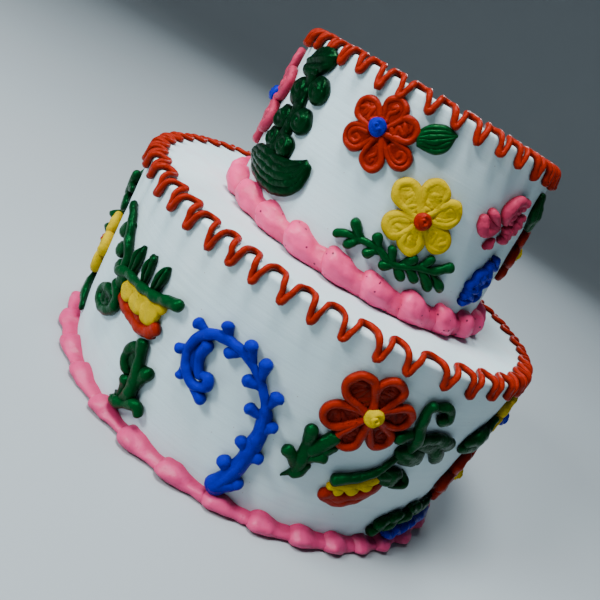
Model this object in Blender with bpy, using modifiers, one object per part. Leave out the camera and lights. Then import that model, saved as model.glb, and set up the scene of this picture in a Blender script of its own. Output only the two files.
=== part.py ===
"""A two-tier buttercream cake with piped shell borders, looped ropes on both rims and piped folk flowers.

Metres, +Z up. The origin is the middle of the lower tier's foot, on the surface that the cake stands on.
The side with the blue fern and the large orange flower faces -Y. The drawings on the walls are given in
millimetres on the unrolled wall: how far along it from the front, to the right, and how high.
"""
import math
import random

import bmesh
import bpy
from mathutils import Vector

MM = 0.001

# The two tiers
LOWER_HEIGHT = 0.1194
LOWER_FOOT_RADIUS = 0.127
LOWER_RIM_RADIUS = 0.131
UPPER_HEIGHT = 0.0984
UPPER_FOOT_RADIUS = 0.0817
UPPER_RIM_RADIUS = 0.0784
UPPER_FOOT_CENTRE = (0.0037, -0.0052)
UPPER_RIM_CENTRE = (-0.0020, -0.0046)
UPPER_TOP_SLOPE = 0.03
EDGE_ROUNDING = 0.0025
EDGE_STEPS = 3
LOWER_SIDES = 72
UPPER_SIDES = 64

# Room left between pieces that touch, and behind whatever is piped on a wall
GAP = 0.0003
BACK = 0.00045
LAYER = 0.0004

# The pink shell borders: how far a shell stands out and up at its head, and how small it is at its tail
LOWER_SHELLS = 31
LOWER_SHELL_OUT = 0.0116
LOWER_SHELL_UP = 0.0100
LOWER_SHELL_TAIL = 0.60
UPPER_SHELLS = 23
UPPER_SHELL_OUT = 0.0082
UPPER_SHELL_UP = 0.0170
UPPER_SHELL_TAIL = 0.86
SHELL_UNEVENNESS = 0.06
SHELL_HEAD = 0.36
SHELL_SECTION = ((0.0, 0.0), (0.72, 0.0), (1.0, 0.36), (0.84, 0.78), (0.42, 1.0), (0.0, 0.86))

# The orange ropes looped over the rims, with the spacing of the loops that were read off, left to right
ROPE_WIDTH = 0.0032
ROPE_HEIGHT = 0.0029
ROPE_INWARD = 0.0058
LOWER_ROPE_DOWNWARD = 0.0075
UPPER_ROPE_DOWNWARD = 0.0058
ROPE_BRIDGE = 0.0009
LOWER_LOOPS = 47
LOWER_FIRST_TIP = -121
LOWER_TIP_SPACING = (18, 16, 16, 16, 14, 13, 16, 15, 16, 18, 16, 23, 18, 19)
UPPER_LOOPS = 37
UPPER_FIRST_TIP = -66
UPPER_TIP_SPACING = (12, 13, 13, 12, 15, 14, 13, 14, 13, 16)

COLOURS = {
    "white_buttercream": (0.78, 0.80, 0.80),
    "pink_icing": (0.80, 0.27, 0.37),
    "orange_red_icing": (0.55, 0.045, 0.008),
    "yellow_icing": (0.72, 0.50, 0.008),
    "green_icing": (0.008, 0.085, 0.028),
    "blue_icing": (0.006, 0.045, 0.42),
    "rose_icing": (0.62, 0.075, 0.13),
}
ICING_ROUGHNESS = 0.5


class Tier:
    """A round tier whose radius and centre change evenly from its foot to its rim; its top may slope along X."""

    def __init__(self, foot_z, height, foot_radius, rim_radius, foot_centre, rim_centre, top_slope):
        self.foot_z = foot_z
        self.height = height
        self.top_slope = top_slope
        self.radii = (foot_radius, rim_radius)
        self.centres = (Vector(foot_centre), Vector(rim_centre))
        self.wall_radius = (foot_radius + rim_radius) / 2

    def share(self, z):
        return min(max((z - self.foot_z) / self.height, 0.0), 1.0)

    def radius(self, z):
        return self.radii[0] + (self.radii[1] - self.radii[0]) * self.share(z)

    def centre(self, z):
        return self.centres[0].lerp(self.centres[1], self.share(z))

    def point(self, along, reach, z):
        """The point at a radius and a height, as far along the wall from the front as asked."""
        angle = along / self.wall_radius
        centre = self.centre(z)
        return Vector((centre.x + reach * math.sin(angle), centre.y - reach * math.cos(angle), z))

    def on_wall(self, along, z, lift):
        return self.point(along, self.radius(z) + lift, z)

    def over_rim(self, along, run, lift):
        """A point over the rounded rim: run is 0 on its middle, less on the top and more down the wall."""
        top = self.foot_z + self.height
        hub = self.radii[1] - EDGE_ROUNDING
        quarter = EDGE_ROUNDING * math.pi / 4
        if run < -quarter:
            point = self.point(along, hub + run + quarter, top + lift)
        elif run > quarter:
            point = self.on_wall(along, top - EDGE_ROUNDING - (run - quarter), lift)
        else:
            turn = math.pi / 4 - run / EDGE_ROUNDING
            reach = EDGE_ROUNDING + lift
            point = self.point(along, hub + reach * math.cos(turn), top - EDGE_ROUNDING + reach * math.sin(turn))
        point.z += self.top_slope * point.x
        return point


LOWER = Tier(0.0, LOWER_HEIGHT, LOWER_FOOT_RADIUS, LOWER_RIM_RADIUS, (0, 0), (0, 0), 0.0)
UPPER = Tier(LOWER_HEIGHT + GAP, UPPER_HEIGHT, UPPER_FOOT_RADIUS, UPPER_RIM_RADIUS,
             UPPER_FOOT_CENTRE, UPPER_RIM_CENTRE, UPPER_TOP_SLOPE)


class Drawing:
    """Turns the millimetres of a drawing into places on a tier's wall, moved and mirrored as asked."""

    def __init__(self, tier, across=0.0, up=0.0, mirrored=False):
        self.tier = tier
        self.across = across
        self.up = up
        self.side = -1 if mirrored else 1

    def place(self, x, y):
        return (self.across + self.side * x) * MM, (self.up + y) * MM


def clear_scene():
    for old in list(bpy.data.objects):
        bpy.data.objects.remove(old, do_unlink=True)


def make_material(name):
    material = bpy.data.materials.new(name)
    material.use_nodes = True
    shader = material.node_tree.nodes["Principled BSDF"]
    shader.inputs["Base Color"].default_value = (*COLOURS[name], 1.0)
    shader.inputs["Roughness"].default_value = ICING_ROUGHNESS
    shader.inputs["Metallic"].default_value = 0.0
    return material


def add_piece(name, mesh, colour):
    """Puts a finished mesh in the cake's collection as one named piece."""
    mesh.name = name
    mesh.materials.clear()
    mesh.materials.append(materials[colour])
    mesh.shade_smooth()
    mesh.set_sharp_from_angle(angle=math.radians(55))
    piece = bpy.data.objects.new(name, mesh)
    cake.objects.link(piece)
    return piece


def loft(rings, closed=False):
    """A body through rings of equally many points, capped at both ends or joined into a loop."""
    body = bmesh.new()
    rows = [[body.verts.new(point) for point in ring] for ring in rings]
    pairs = list(zip(rows, rows[1:]))
    if closed:
        pairs.append((rows[-1], rows[0]))
    for first, second in pairs:
        for here in range(len(first)):
            there = (here + 1) % len(first)
            body.faces.new((first[here], first[there], second[there], second[here]))
    if not closed:
        body.faces.new(list(reversed(rows[0])))
        body.faces.new(rows[-1])
    bmesh.ops.recalc_face_normals(body, faces=body.faces)
    mesh = bpy.data.meshes.new("shape")
    body.to_mesh(mesh)
    body.free()
    return mesh


def united(name, meshes, colour):
    """One piece from shapes that overlap, joined by a Boolean union on their collection."""
    shapes = [bpy.data.objects.new("shape", mesh) for mesh in meshes]
    bpy.context.scene.collection.objects.link(shapes[0])
    others = bpy.data.collections.new(name + "_shapes")
    bpy.context.scene.collection.children.link(others)
    for shape in shapes[1:]:
        others.objects.link(shape)
    if len(shapes) > 1:
        union = shapes[0].modifiers.new("Union", "BOOLEAN")
        union.operation = "UNION"
        union.solver = "MANIFOLD"
        union.operand_type = "COLLECTION"
        union.collection = others
    depsgraph = bpy.context.evaluated_depsgraph_get()
    mesh = bpy.data.meshes.new_from_object(shapes[0].evaluated_get(depsgraph))
    for shape in shapes:
        bpy.data.objects.remove(shape, do_unlink=True)
    bpy.data.collections.remove(others)
    return add_piece(name, mesh, colour)


def smooth_path(points, steps):
    """A smooth curve through tuples of numbers, with steps spans between each two of them."""
    ends = [points[0]] + list(points) + [points[-1]]
    path = []
    for before, start, end, after in zip(ends, ends[1:], ends[2:], ends[3:]):
        for step in range(steps):
            t = step / steps
            path.append(tuple(
                0.5 * (2 * b + (c - a) * t + (2 * a - 5 * b + 4 * c - d) * t * t + (3 * b - a - 3 * c + d) * t ** 3)
                for a, b, c, d in zip(before, start, end, after)))
    path.append(tuple(points[-1]))
    return path


ROPE_SECTION = ((-0.5, 0.0), (-0.3, 1.0), (0.3, 1.0), (0.5, 0.0))
LEAF_SECTION = ((-0.5, 0.0), (0.0, 1.0), (0.5, 0.0))


def ribbon(drawing, stations, section, back):
    """A flat-backed ribbon of icing along stations of x, y, width and height in millimetres."""
    rings = []
    for index, (x, y, width, height) in enumerate(stations):
        before = stations[max(index - 1, 0)]
        after = stations[min(index + 1, len(stations) - 1)]
        heading = Vector((after[0] - before[0], after[1] - before[1])).normalized()
        ring = []
        for side, rise in section:
            offset = side * width
            along, z = drawing.place(x - heading.y * offset, y + heading.x * offset)
            ring.append(drawing.tier.on_wall(along, z, back + rise * height * MM))
        rings.append(ring)
    return loft(rings)


def rope(drawing, points, width, steps=2, height=None, back=BACK):
    """A piped rope through points of x and y, rounded off at both ends."""
    path = smooth_path(points, steps)
    tall = height or width * 0.8
    stations = [(x, y, width, tall) for x, y in path]
    stations[0] = (*path[0], width * 0.6, tall * 0.8)
    stations[-1] = (*path[-1], width * 0.6, tall * 0.8)
    return ribbon(drawing, stations, ROPE_SECTION, back)


def leaf(drawing, base, tip, width, bend=0.0, back=BACK, height=3.2):
    """A piped leaf from base to tip: widest before its middle, pointed at its end, bent to one side."""
    along = Vector(tip) - Vector(base)
    across = Vector((-along.y, along.x)).normalized()
    stations = []
    for share, wide in ((0.0, 0.45), (0.25, 0.95), (0.6, 0.9), (0.88, 0.5), (1.0, 0.12)):
        place = Vector(base) + along * share + across * bend * math.sin(math.pi * share)
        stations.append((place.x, place.y, wide * width, height * (0.55 + 0.45 * wide)))
    return ribbon(drawing, stations, LEAF_SECTION, back)


def pad(drawing, middle, turn, length, width, rim, core, back=BACK, sides=8):
    """A piped pad with an oval outline, its rim and its middle as high as asked: dished or crowned."""
    cosine = math.cos(turn)
    sine = math.sin(turn)

    def outline(scale, lift):
        ring = []
        for side in range(sides):
            angle = 2 * math.pi * (side + 0.5) / sides
            far = scale * length / 2 * math.cos(angle)
            wide = scale * width / 2 * math.sin(angle)
            x = middle[0] + far * cosine - wide * sine
            y = middle[1] + far * sine + wide * cosine
            along, z = drawing.place(x, y)
            ring.append(drawing.tier.on_wall(along, z, back + lift * MM))
        return ring

    body = bmesh.new()
    foot = [body.verts.new(point) for point in outline(0.9, 0.0)]
    crest = [body.verts.new(point) for point in outline(1.0, rim)]
    along, z = drawing.place(*middle)
    centre = body.verts.new(drawing.tier.on_wall(along, z, back + core * MM))
    body.faces.new(foot)
    for here in range(sides):
        there = (here + 1) % sides
        body.faces.new((foot[here], foot[there], crest[there], crest[here]))
        body.faces.new((crest[here], crest[there], centre))
    bmesh.ops.recalc_face_normals(body, faces=body.faces)
    mesh = bpy.data.meshes.new("shape")
    body.to_mesh(mesh)
    body.free()
    return mesh


def nub(drawing, middle, size, back=BACK, sides=5):
    return pad(drawing, middle, 0.0, size, size, size * 0.35, size * 0.75, back, sides)


LOOPED_PETAL = (4.2, 1.8, 3.0)
FILLED_PETAL = (2.2, 3.9, 1.9)
PETAL_TURNS = tuple(math.radians(turn) for turn in (-80, -27, 27, 80))
VALLEY_WIDTH = math.radians(4)


def even_petals(first, reach, size):
    """Six petals a sixth of a turn apart, as turn, reach of the middle and size."""
    draw = random.Random(first + reach)
    return [(first + 60 * index, reach, size * (1 + draw.uniform(-0.04, 0.04))) for index in range(6)]


def flower(name, drawing, colour, heart_colour, petals, looped=False, heart=9.0):
    """Petals round a heart: looped petals are dished between their ropes, filled ones are crowned."""
    rim, core, valley = LOOPED_PETAL if looped else FILLED_PETAL
    body = bmesh.new()

    def corner(x, y, lift):
        along, z = drawing.place(x, y)
        return body.verts.new(drawing.tier.on_wall(along, z, BACK + lift * MM))

    def spoke(angle, far, lift):
        return corner(far * math.cos(angle), far * math.sin(angle), lift)

    petals = sorted((math.radians(turn % 360), reach, size) for turn, reach, size in petals)
    first_again = (petals[0][0] + 2 * math.pi, *petals[0][1:])
    valleys = []
    rooms = []
    for (angle, reach, size), (after, next_reach, next_size) in zip(petals, petals[1:] + [first_again]):
        half = (after - angle) / 2
        near = (reach + next_reach) / 2
        wide = (size + next_size) / 4
        far = near * math.cos(half) + math.sqrt(max(wide ** 2 - (near * math.sin(half)) ** 2, 0.0))
        valleys.append((spoke(angle + half, far * 0.97, 0.0), spoke(angle + half, far, valley)))
        rooms.append(half - VALLEY_WIDTH / 2)
    middle_back = corner(0, 0, 0.0)
    middle_front = corner(0, 0, core)
    for index, (angle, reach, size) in enumerate(petals):
        outline_back = [valleys[index - 1][0]]
        outline_front = [valleys[index - 1][1]]
        for turn in PETAL_TURNS:
            ahead = reach + size / 2 * math.cos(turn)
            aside = size / 2 * math.sin(turn)
            veer = min(max(math.atan2(aside, ahead), -rooms[index - 1]), rooms[index])
            far = math.hypot(ahead, aside)
            outline_back.append(spoke(angle + veer, far - 0.4, 0.0))
            outline_front.append(spoke(angle + veer, far, rim))
        outline_back.append(valleys[index][0])
        outline_front.append(valleys[index][1])
        for outline, middle, lift in ((outline_back, middle_back, 0.0), (outline_front, middle_front, core)):
            petal_middle = spoke(angle, reach * 0.95, lift)
            loop = outline + [middle]
            for here in range(len(loop)):
                body.faces.new((loop[here], loop[(here + 1) % len(loop)], petal_middle))
        for here in range(len(outline_back) - 1):
            body.faces.new((outline_back[here], outline_back[here + 1], outline_front[here + 1], outline_front[here]))
    bmesh.ops.recalc_face_normals(body, faces=body.faces)
    mesh = bpy.data.meshes.new("shape")
    body.to_mesh(mesh)
    body.free()
    add_piece(name, mesh, colour)
    heart_back = BACK + (max(core, valley) + 0.6) * MM
    add_piece(name + "_heart", pad(drawing, (0, 0), 0.3, heart, heart, 1.2, 3.0, heart_back), heart_colour)


def paired_tips(points, spacing, size, reach):
    """Finger tips on both sides of a curve through points, evenly spaced along it, as x, y and size."""
    tips = []
    travelled = spacing / 2
    path = smooth_path(points, 8)
    for start, end in zip(path, path[1:]):
        step = Vector(end) - Vector(start)
        travelled += step.length
        if travelled >= spacing:
            travelled -= spacing
            across = Vector((-step.y, step.x)).normalized() * reach
            for way in (1, -1):
                middle = Vector(end) + across * way
                tips.append((middle.x, middle.y, size))
    return tips


FINGER_LEAN = 4.0


def fern(name, drawing, colour, points, width, tips, hub, steps=2):
    """A curling rope with round-tipped fingers, each dragged in to the rope towards the fern's hub."""
    path = [Vector(point) for point in smooth_path(points, 8)]
    middle = min(range(len(path)), key=lambda spot: (path[spot] - Vector(hub)).length)
    shapes = [rope(drawing, points, width, steps)]
    for index, (x, y, size) in enumerate(tips):
        tip = Vector((x, y))
        nearest = min(range(len(path)), key=lambda spot: (path[spot] - tip).length)
        root = nearest
        while root != middle and (path[root] - path[nearest]).length < FINGER_LEAN:
            root += 1 if middle > nearest else -1
        end = tip - (path[root] - tip).normalized() * size * 0.42
        stations = ((end.x, end.y, size * 0.6, size * 0.5), (x, y, size, size * 0.72),
                    (path[root].x, path[root].y, size * 0.5, size * 0.5))
        shapes.append(ribbon(drawing, stations, ROPE_SECTION, BACK + LAYER * (1 + index % 2)))
    return united(name, shapes, colour)


def scallops(name, drawing, colour, start, end, count, size):
    """A row of round lobes that touch, from start to end."""
    lobes = []
    for index in range(count):
        middle = Vector(start).lerp(Vector(end), index / (count - 1))
        back = BACK + LAYER * (index % 2)
        lobes.append(pad(drawing, (middle.x, middle.y), 0.0, size, size, 1.5, 2.6, back))
    return united(name, lobes, colour)


def tier_body(name, tier, sides):
    """The solid of a tier: its side turned from a profile, capped flat, and leaned over evenly."""
    top = tier.foot_z + tier.height
    profile = []
    for step in range(EDGE_STEPS + 1):
        angle = math.pi / 2 * (1 - step / EDGE_STEPS)
        profile.append((tier.radii[1] - EDGE_ROUNDING * (1 - math.cos(angle)),
                        top - EDGE_ROUNDING * (1 - math.sin(angle))))
    profile.append((tier.radii[0], tier.foot_z))
    outline = bpy.data.meshes.new("outline")
    outline.from_pydata([(r, 0, z) for r, z in profile], [(i, i + 1) for i in range(len(profile) - 1)], [])
    turned = bpy.data.objects.new("outline", outline)
    bpy.context.scene.collection.objects.link(turned)
    screw = turned.modifiers.new("Turn", "SCREW")
    screw.axis = "Z"
    screw.angle = 2 * math.pi
    screw.steps = sides
    screw.render_steps = sides
    screw.use_merge_vertices = True
    screw.merge_threshold = 0.00005
    depsgraph = bpy.context.evaluated_depsgraph_get()
    mesh = bpy.data.meshes.new_from_object(turned.evaluated_get(depsgraph))
    bpy.data.objects.remove(turned, do_unlink=True)
    body = bmesh.new()
    body.from_mesh(mesh)
    bmesh.ops.holes_fill(body, edges=[edge for edge in body.edges if edge.is_boundary], sides=0)
    for vertex in body.verts:
        centre = tier.centre(vertex.co.z)
        vertex.co.x += centre.x
        vertex.co.y += centre.y
        if vertex.co.z > tier.foot_z:
            vertex.co.z += tier.top_slope * vertex.co.x
    bmesh.ops.recalc_face_normals(body, faces=body.faces)
    body.to_mesh(mesh)
    body.free()
    return add_piece(name, mesh, "white_buttercream")


def shell_border(name, tier, floor, count, out, up, tail):
    """Teardrop shells piped one after another round a tier's foot, each with its head to the left."""
    draw = random.Random(name)
    pitch = 2 * math.pi / count
    rings = []
    for shell in range(count):
        size = 1 + draw.uniform(-SHELL_UNEVENNESS, SHELL_UNEVENNESS)
        for share, swell in ((0.0, tail), (SHELL_HEAD, 1.0)):
            angle = (shell + share) * pitch
            full = swell * (size if share else 1.0)
            wall = max(tier.radius(floor), tier.radius(floor + up))
            ring = []
            for outward, upward in SHELL_SECTION:
                z = floor + upward * up * full
                ring.append(tier.point(angle * tier.wall_radius, wall + BACK + outward * out * full, z))
            rings.append(ring)
    return add_piece(name, loft(rings, closed=True), "pink_icing")


def rim_rope(name, tier, loops, first_tip, spacing, downward):
    """A rope looped over the rim all round: arches on the top, pointed tips down the wall."""
    draw = random.Random(name)
    tips = [first_tip]
    for gap in spacing:
        tips.append(tips[-1] + gap)
    round_wall = 2 * math.pi * tier.wall_radius / MM
    rest = loops - len(spacing)
    left = round_wall - (tips[-1] - tips[0])
    for index in range(rest - 1):
        tips.append(tips[len(spacing)] + left * (index + 1 + draw.uniform(-0.12, 0.12)) / rest)
    tips.append(tips[0] + round_wall)
    rings = []
    for tip, after in zip(tips, tips[1:]):
        for share, run, thick, across in ((0.0, downward, 1.3, (0, 1)), (0.26, 0.0, 1.0, (1, 0)),
                                          (0.42, -ROPE_INWARD, 1.0, (0.5, 0.87)),
                                          (0.62, -ROPE_INWARD, 1.0, (-0.5, 0.87)), (0.78, 0.0, 1.0, (-1, 0))):
            along = (tip + share * (after - tip)) * MM
            back = BACK + (ROPE_BRIDGE if run == 0.0 else 0.0)
            ring = []
            for side, rise in LEAF_SECTION:
                offset = side * ROPE_WIDTH * thick
                lift = back + rise * ROPE_HEIGHT
                ring.append(tier.over_rim(along + across[0] * offset, run + across[1] * offset, lift))
            rings.append(ring)
    return add_piece(name, loft(rings, closed=True), "orange_red_icing")


def left_vine(drawing):
    """Green vine with standing and hanging leaves, over yellow scallops edged by an orange band."""
    green = [
        rope(drawing, ((-102, 62), (-96, 67), (-82, 71), (-64, 75.5), (-53, 77.5)), 5.8, 1),
        rope(drawing, ((-100, 66), (-106, 77), (-116, 86), (-125, 94)), 6.4, 1, back=BACK + LAYER),
        leaf(drawing, (-95, 67), (-94, 85), 8.5, back=BACK + 2 * LAYER),
        leaf(drawing, (-82, 69), (-80.5, 87), 9.0, back=BACK + 2 * LAYER),
        leaf(drawing, (-72, 72), (-68, 89), 8.5, back=BACK + 2 * LAYER),
        nub(drawing, (-119.5, 80.5), 11.0, BACK + 2 * LAYER, 6),
        nub(drawing, (-111, 71.5), 10.5, BACK + 3 * LAYER, 6),
        nub(drawing, (-104.5, 64), 10.0, BACK + 2 * LAYER, 6),
        rope(drawing, ((-98, 63), (-97, 55), (-100, 49)), 6.0, 1, back=BACK + 3 * LAYER),
        pad(drawing, (-105.5, 44.5), 0.1, 26.5, 17.5, 4.2, 2.2, BACK + LAYER, 10),
    ]
    united("lower_left_vine", green, "green_icing")
    scallops("lower_left_scallops", drawing, "yellow_icing", (-87.5, 59.6), (-66.5, 62.4), 3, 12.8)
    band = rope(drawing, ((-89.5, 50.8), (-80, 50.6), (-67, 52), (-58.5, 56.5), (-55.5, 63)), 4.6, 1, height=3.4)
    united("lower_left_band", [band], "orange_red_icing")


def climbing_vine(name, drawing):
    """Green vine that climbs to a curl, with leaves to its right."""
    green = [
        rope(drawing, ((58, 43), (66, 46), (75, 50), (82, 58), (85, 70), (83, 84), (79, 99)), 6.4, 1),
        rope(drawing, ((83, 84), (86, 95), (92, 97.5), (96, 93), (92, 89)), 5.0, 1, back=BACK + LAYER),
        leaf(drawing, (85, 73), (73, 78), 7.0, back=BACK + 2 * LAYER),
        leaf(drawing, (83, 72), (129, 67), 15.0, 4.5, back=BACK + 3 * LAYER, height=4.0),
        leaf(drawing, (84, 64), (104, 62), 13.5, back=BACK + 2 * LAYER, height=4.0),
        leaf(drawing, (80, 57), (104, 47), 14.0, back=BACK + LAYER, height=4.0),
    ]
    united(name, green, "green_icing")


BLUE_CURL = ((8, 15), (12, 27), (12.5, 44), (6, 65), (-9, 79), (-24, 81.5), (-36, 73), (-37, 61), (-28, 52),
             (-21, 54))
BLUE_TIPS = ((16, 19, 8), (17.5, 37, 7.5), (15.5, 55, 7.5), (9.5, 70.5, 8), (-2, 81.5, 8), (-12.5, 86, 7.5),
             (-26, 87, 7), (-39.5, 78.5, 6.5), (-42, 61.5, 6.5), (-35, 51, 6.5), (-21, 47, 6.5), (5.5, 26, 7.5),
             (6.5, 40, 7), (2.5, 57.5, 7), (-5.5, 70.5, 7), (-20, 76, 6.5), (-30.5, 69, 7.5), (-22.5, 57, 8))


def lower_front():
    drawing = Drawing(LOWER)
    left_vine(drawing)
    sprig = [
        rope(drawing, ((-61.5, 47.5), (-57, 38), (-55, 27), (-57, 17)), 8.4, 1),
        rope(drawing, ((-61, 43), (-67, 39), (-67, 33), (-61.5, 30)), 5.6, 1, back=BACK + LAYER),
        rope(drawing, ((-64, 14.8), (-56, 15.2), (-44, 19.5)), 5.6, 1, back=BACK + 2 * LAYER),
        rope(drawing, ((-61, 25), (-57, 20)), 6.6, 1, back=BACK + 3 * LAYER),
        rope(drawing, ((-56, 34), (-49, 37)), 7.6, 1, back=BACK + 3 * LAYER),
    ]
    united("lower_left_sprig", sprig, "green_icing")
    fern("lower_blue_fern", drawing, "blue_icing", BLUE_CURL, 6.2, BLUE_TIPS, BLUE_CURL[0])
    petals = ((84, 14.0, 16.5), (25, 13.8, 15.5), (-38, 14.0, 15.5), (-94, 14.5, 15.0), (-152, 14.8, 16.5),
              (144, 15.5, 17.0))
    flower("lower_orange_flower", Drawing(LOWER, 51.5, 83.5), "orange_red_icing", "yellow_icing", petals, looped=True)
    drawing = Drawing(LOWER, 0.5, 0.5)
    leaves = [
        rope(drawing, ((36, 54), (36, 45), (35, 33)), 5.0, 1),
        leaf(drawing, (36, 50), (32, 65), 7.5, back=BACK + LAYER),
        leaf(drawing, (37, 49), (48, 60), 8.5, back=BACK + 2 * LAYER),
        leaf(drawing, (37, 44), (48, 50), 7.5, back=BACK + 3 * LAYER),
        leaf(drawing, (36, 42), (26, 47), 6.5, back=BACK + 2 * LAYER),
        nub(drawing, (38.5, 36.5), 6.5, BACK + LAYER),
    ]
    united("lower_middle_sprig", leaves, "green_icing")
    drawing = Drawing(LOWER)
    climbing_vine("lower_right_vine", drawing)
    band = rope(drawing, ((59, 37.5), (68, 39.5), (77, 43.5)), 5.4, 2, height=2.8)
    united("lower_right_scallops", [band], "yellow_icing")
    edge = rope(drawing, ((60, 29), (70, 31), (80, 35.5), (87, 42)), 9.4, 1, height=3.4)
    united("lower_right_band", [edge], "orange_red_icing")


def lower_sides():
    """What the right and left edges of the front view show edge on, carried round the wall."""
    flower("lower_left_flower", Drawing(LOWER, -182, 51), "yellow_icing", "orange_red_icing",
           even_petals(12, 14, 16.5))
    drawing = Drawing(LOWER)
    leaves = [
        rope(drawing, ((-178, 78), (-168, 84), (-160, 98)), 5.5, 1),
        leaf(drawing, (-170, 83), (-153, 80), 9.0, back=BACK + LAYER),
        leaf(drawing, (-176, 80), (-190, 94), 9.0, back=BACK + 2 * LAYER),
    ]
    united("lower_left_leaves", leaves, "green_icing")
    united("lower_left_low_leaf", [leaf(drawing, (-166, 26), (-139, 15), 9.5)], "green_icing")
    flower("lower_right_yellow_flower", Drawing(LOWER, 171, 89), "yellow_icing", "blue_icing",
           even_petals(12, 10.5, 12.5))
    flower("lower_right_red_flower", Drawing(LOWER, 173, 44), "orange_red_icing", "yellow_icing",
           even_petals(12, 14.5, 16.5), looped=True)
    leaves = [
        rope(drawing, ((152, 86), (146, 78), (152, 70)), 5.0, 1),
        leaf(drawing, (151, 84), (128, 79), 14.0, back=BACK + LAYER, height=4.0),
    ]
    united("lower_right_leaves", leaves, "green_icing")
    leaves = [
        leaf(drawing, (120, 23), (105, 16.5), 10.0, back=BACK + LAYER),
        leaf(drawing, (116, 23), (139, 22.5), 9.0),
        leaf(drawing, (134, 23), (158, 24), 7.0, back=BACK + LAYER),
    ]
    united("lower_right_low_leaves", leaves, "green_icing")
    base = rope(drawing, ((122, 15.2), (136, 14.8), (150, 15.2), (164, 16)), 5.6, 1, height=7.5)
    united("lower_right_blue_base", [base], "blue_icing")


def lower_back():
    fern("lower_back_fern", Drawing(LOWER, 229, 0, mirrored=True), "blue_icing", BLUE_CURL, 6.2, BLUE_TIPS[1::2],
         BLUE_CURL[0], steps=1)
    flower("lower_back_flower", Drawing(LOWER, 318, 82), "orange_red_icing", "yellow_icing",
           even_petals(30, 14.5, 16.5), looped=True)
    drawing = Drawing(LOWER, 318)
    leaves = [
        rope(drawing, ((0, 54), (-3, 42), (2, 26)), 5.0, 1),
        leaf(drawing, (-2, 48), (-15, 55), 8.0, back=BACK + LAYER),
        leaf(drawing, (-2, 46), (13, 52), 8.0, back=BACK + 2 * LAYER),
        leaf(drawing, (-1, 38), (-16, 40), 7.5, back=BACK + 2 * LAYER),
        leaf(drawing, (0, 34), (14, 38), 7.5, back=BACK + LAYER),
    ]
    united("lower_back_sprig", leaves, "green_icing")
    climbing_vine("lower_back_vine", Drawing(LOWER, -300, 0, mirrored=True))
    flower("lower_back_yellow_flower", Drawing(LOWER, -300, 78), "yellow_icing", "orange_red_icing",
           even_petals(0, 14, 16.5))
    drawing = Drawing(LOWER, -268)
    leaves = [
        rope(drawing, ((28, 92), (34, 74), (28, 56), (36, 36), (30, 20)), 5.4, 1),
        leaf(drawing, (32, 80), (48, 92), 8.5, back=BACK + LAYER),
        leaf(drawing, (31, 62), (13, 74), 8.5, back=BACK + 2 * LAYER),
        leaf(drawing, (30, 56), (14, 44), 8.5, back=BACK + LAYER),
        leaf(drawing, (34, 34), (18, 24), 8.0, back=BACK + LAYER),
    ]
    united("lower_back_leaves", leaves, "green_icing")


def upper_front():
    drawing = Drawing(UPPER)
    vine = [
        rope(drawing, ((-68, 201), (-73, 190), (-72, 172), (-73, 146)), 7.0, 1),
        leaf(drawing, (-60, 203), (-88, 195), 13.5, 1.0, back=BACK + LAYER, height=4.0),
        leaf(drawing, (-73, 187), (-54, 194), 9.0, back=BACK + 2 * LAYER),
        leaf(drawing, (-70, 191), (-85, 186), 9.0, back=BACK + 3 * LAYER),
        leaf(drawing, (-73, 169), (-54, 179), 9.5, back=BACK + 2 * LAYER),
        leaf(drawing, (-69, 174), (-88, 170), 9.5, back=BACK + 3 * LAYER),
        nub(drawing, (-66, 161), 13.0, BACK + LAYER),
        leaf(drawing, (-92, 150), (-39, 159.5), 17.0, -7.5, back=BACK + 4 * LAYER, height=4.5),
    ]
    united("upper_leaf_vine", vine, "green_icing")
    petals = ((86, 10.8, 13.0), (36, 12.0, 13.5), (-24, 13.5, 13.5), (-80, 12.5, 13.0), (-140, 12.5, 13.0),
              (152, 12.0, 13.5))
    flower("upper_red_flower", Drawing(UPPER, -15, 191.5), "orange_red_icing", "blue_icing", petals, looped=True,
           heart=8.5)
    united("upper_front_leaf", [leaf(drawing, (4, 195), (20, 206.5), 14.5, height=4.0)], "green_icing")
    petals = ((94, 13.0, 15.5), (40, 13.0, 15.5), (-22, 12.8, 16.0), (-86, 12.5, 15.0), (-149, 12.0, 14.5),
              (153, 12.5, 15.5))
    flower("upper_yellow_flower", Drawing(UPPER, 22, 168.2), "yellow_icing", "orange_red_icing", petals)
    spray = ((-10.6, 142), (-3, 144.2), (5, 145.4), (14, 144.4), (26, 143.4), (34, 147.2), (49, 152.5))
    tips = ((-5, 149.2, 5.4), (8, 149, 5.4), (16, 147.8, 4.6), (31, 148.6, 5), (37, 152, 5.4), (49, 153.5, 5.6),
            (-3, 140.6, 5.4), (7, 141, 5.4), (15.5, 140.2, 5.4), (27, 139.8, 5.4), (34, 142.6, 5.4), (43, 146, 5),
            (50, 148, 5))
    fern("upper_front_fern", drawing, "green_icing", spray, 4.2, tips, (20, 144))
    rose = [
        pad(drawing, (75, 194), 0.3, 21, 12, 2.2, 3.6, BACK, 7),
        pad(drawing, (61, 184), 0.4, 17, 13, 3.4, 2.0, BACK + LAYER, 7),
        pad(drawing, (81, 183), -0.3, 21, 12, 2.2, 3.6, BACK + 2 * LAYER, 7),
        pad(drawing, (71, 175), 0.3, 12, 9, 2.0, 3.0, BACK + 3 * LAYER, 6),
        nub(drawing, (71, 184), 15.0, BACK + 4 * LAYER),
    ]
    united("upper_rose_flower", rose, "rose_icing")
    lumps = [nub(drawing, place, size, BACK + LAYER * (index % 3), 6) for index, (place, size) in enumerate((
        ((77, 143.5), 11), ((75, 151), 9), ((84, 148), 11), ((82, 157), 10), ((90, 154), 10), ((91, 163), 10)))]
    united("upper_blue_vine", lumps, "blue_icing")


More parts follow.
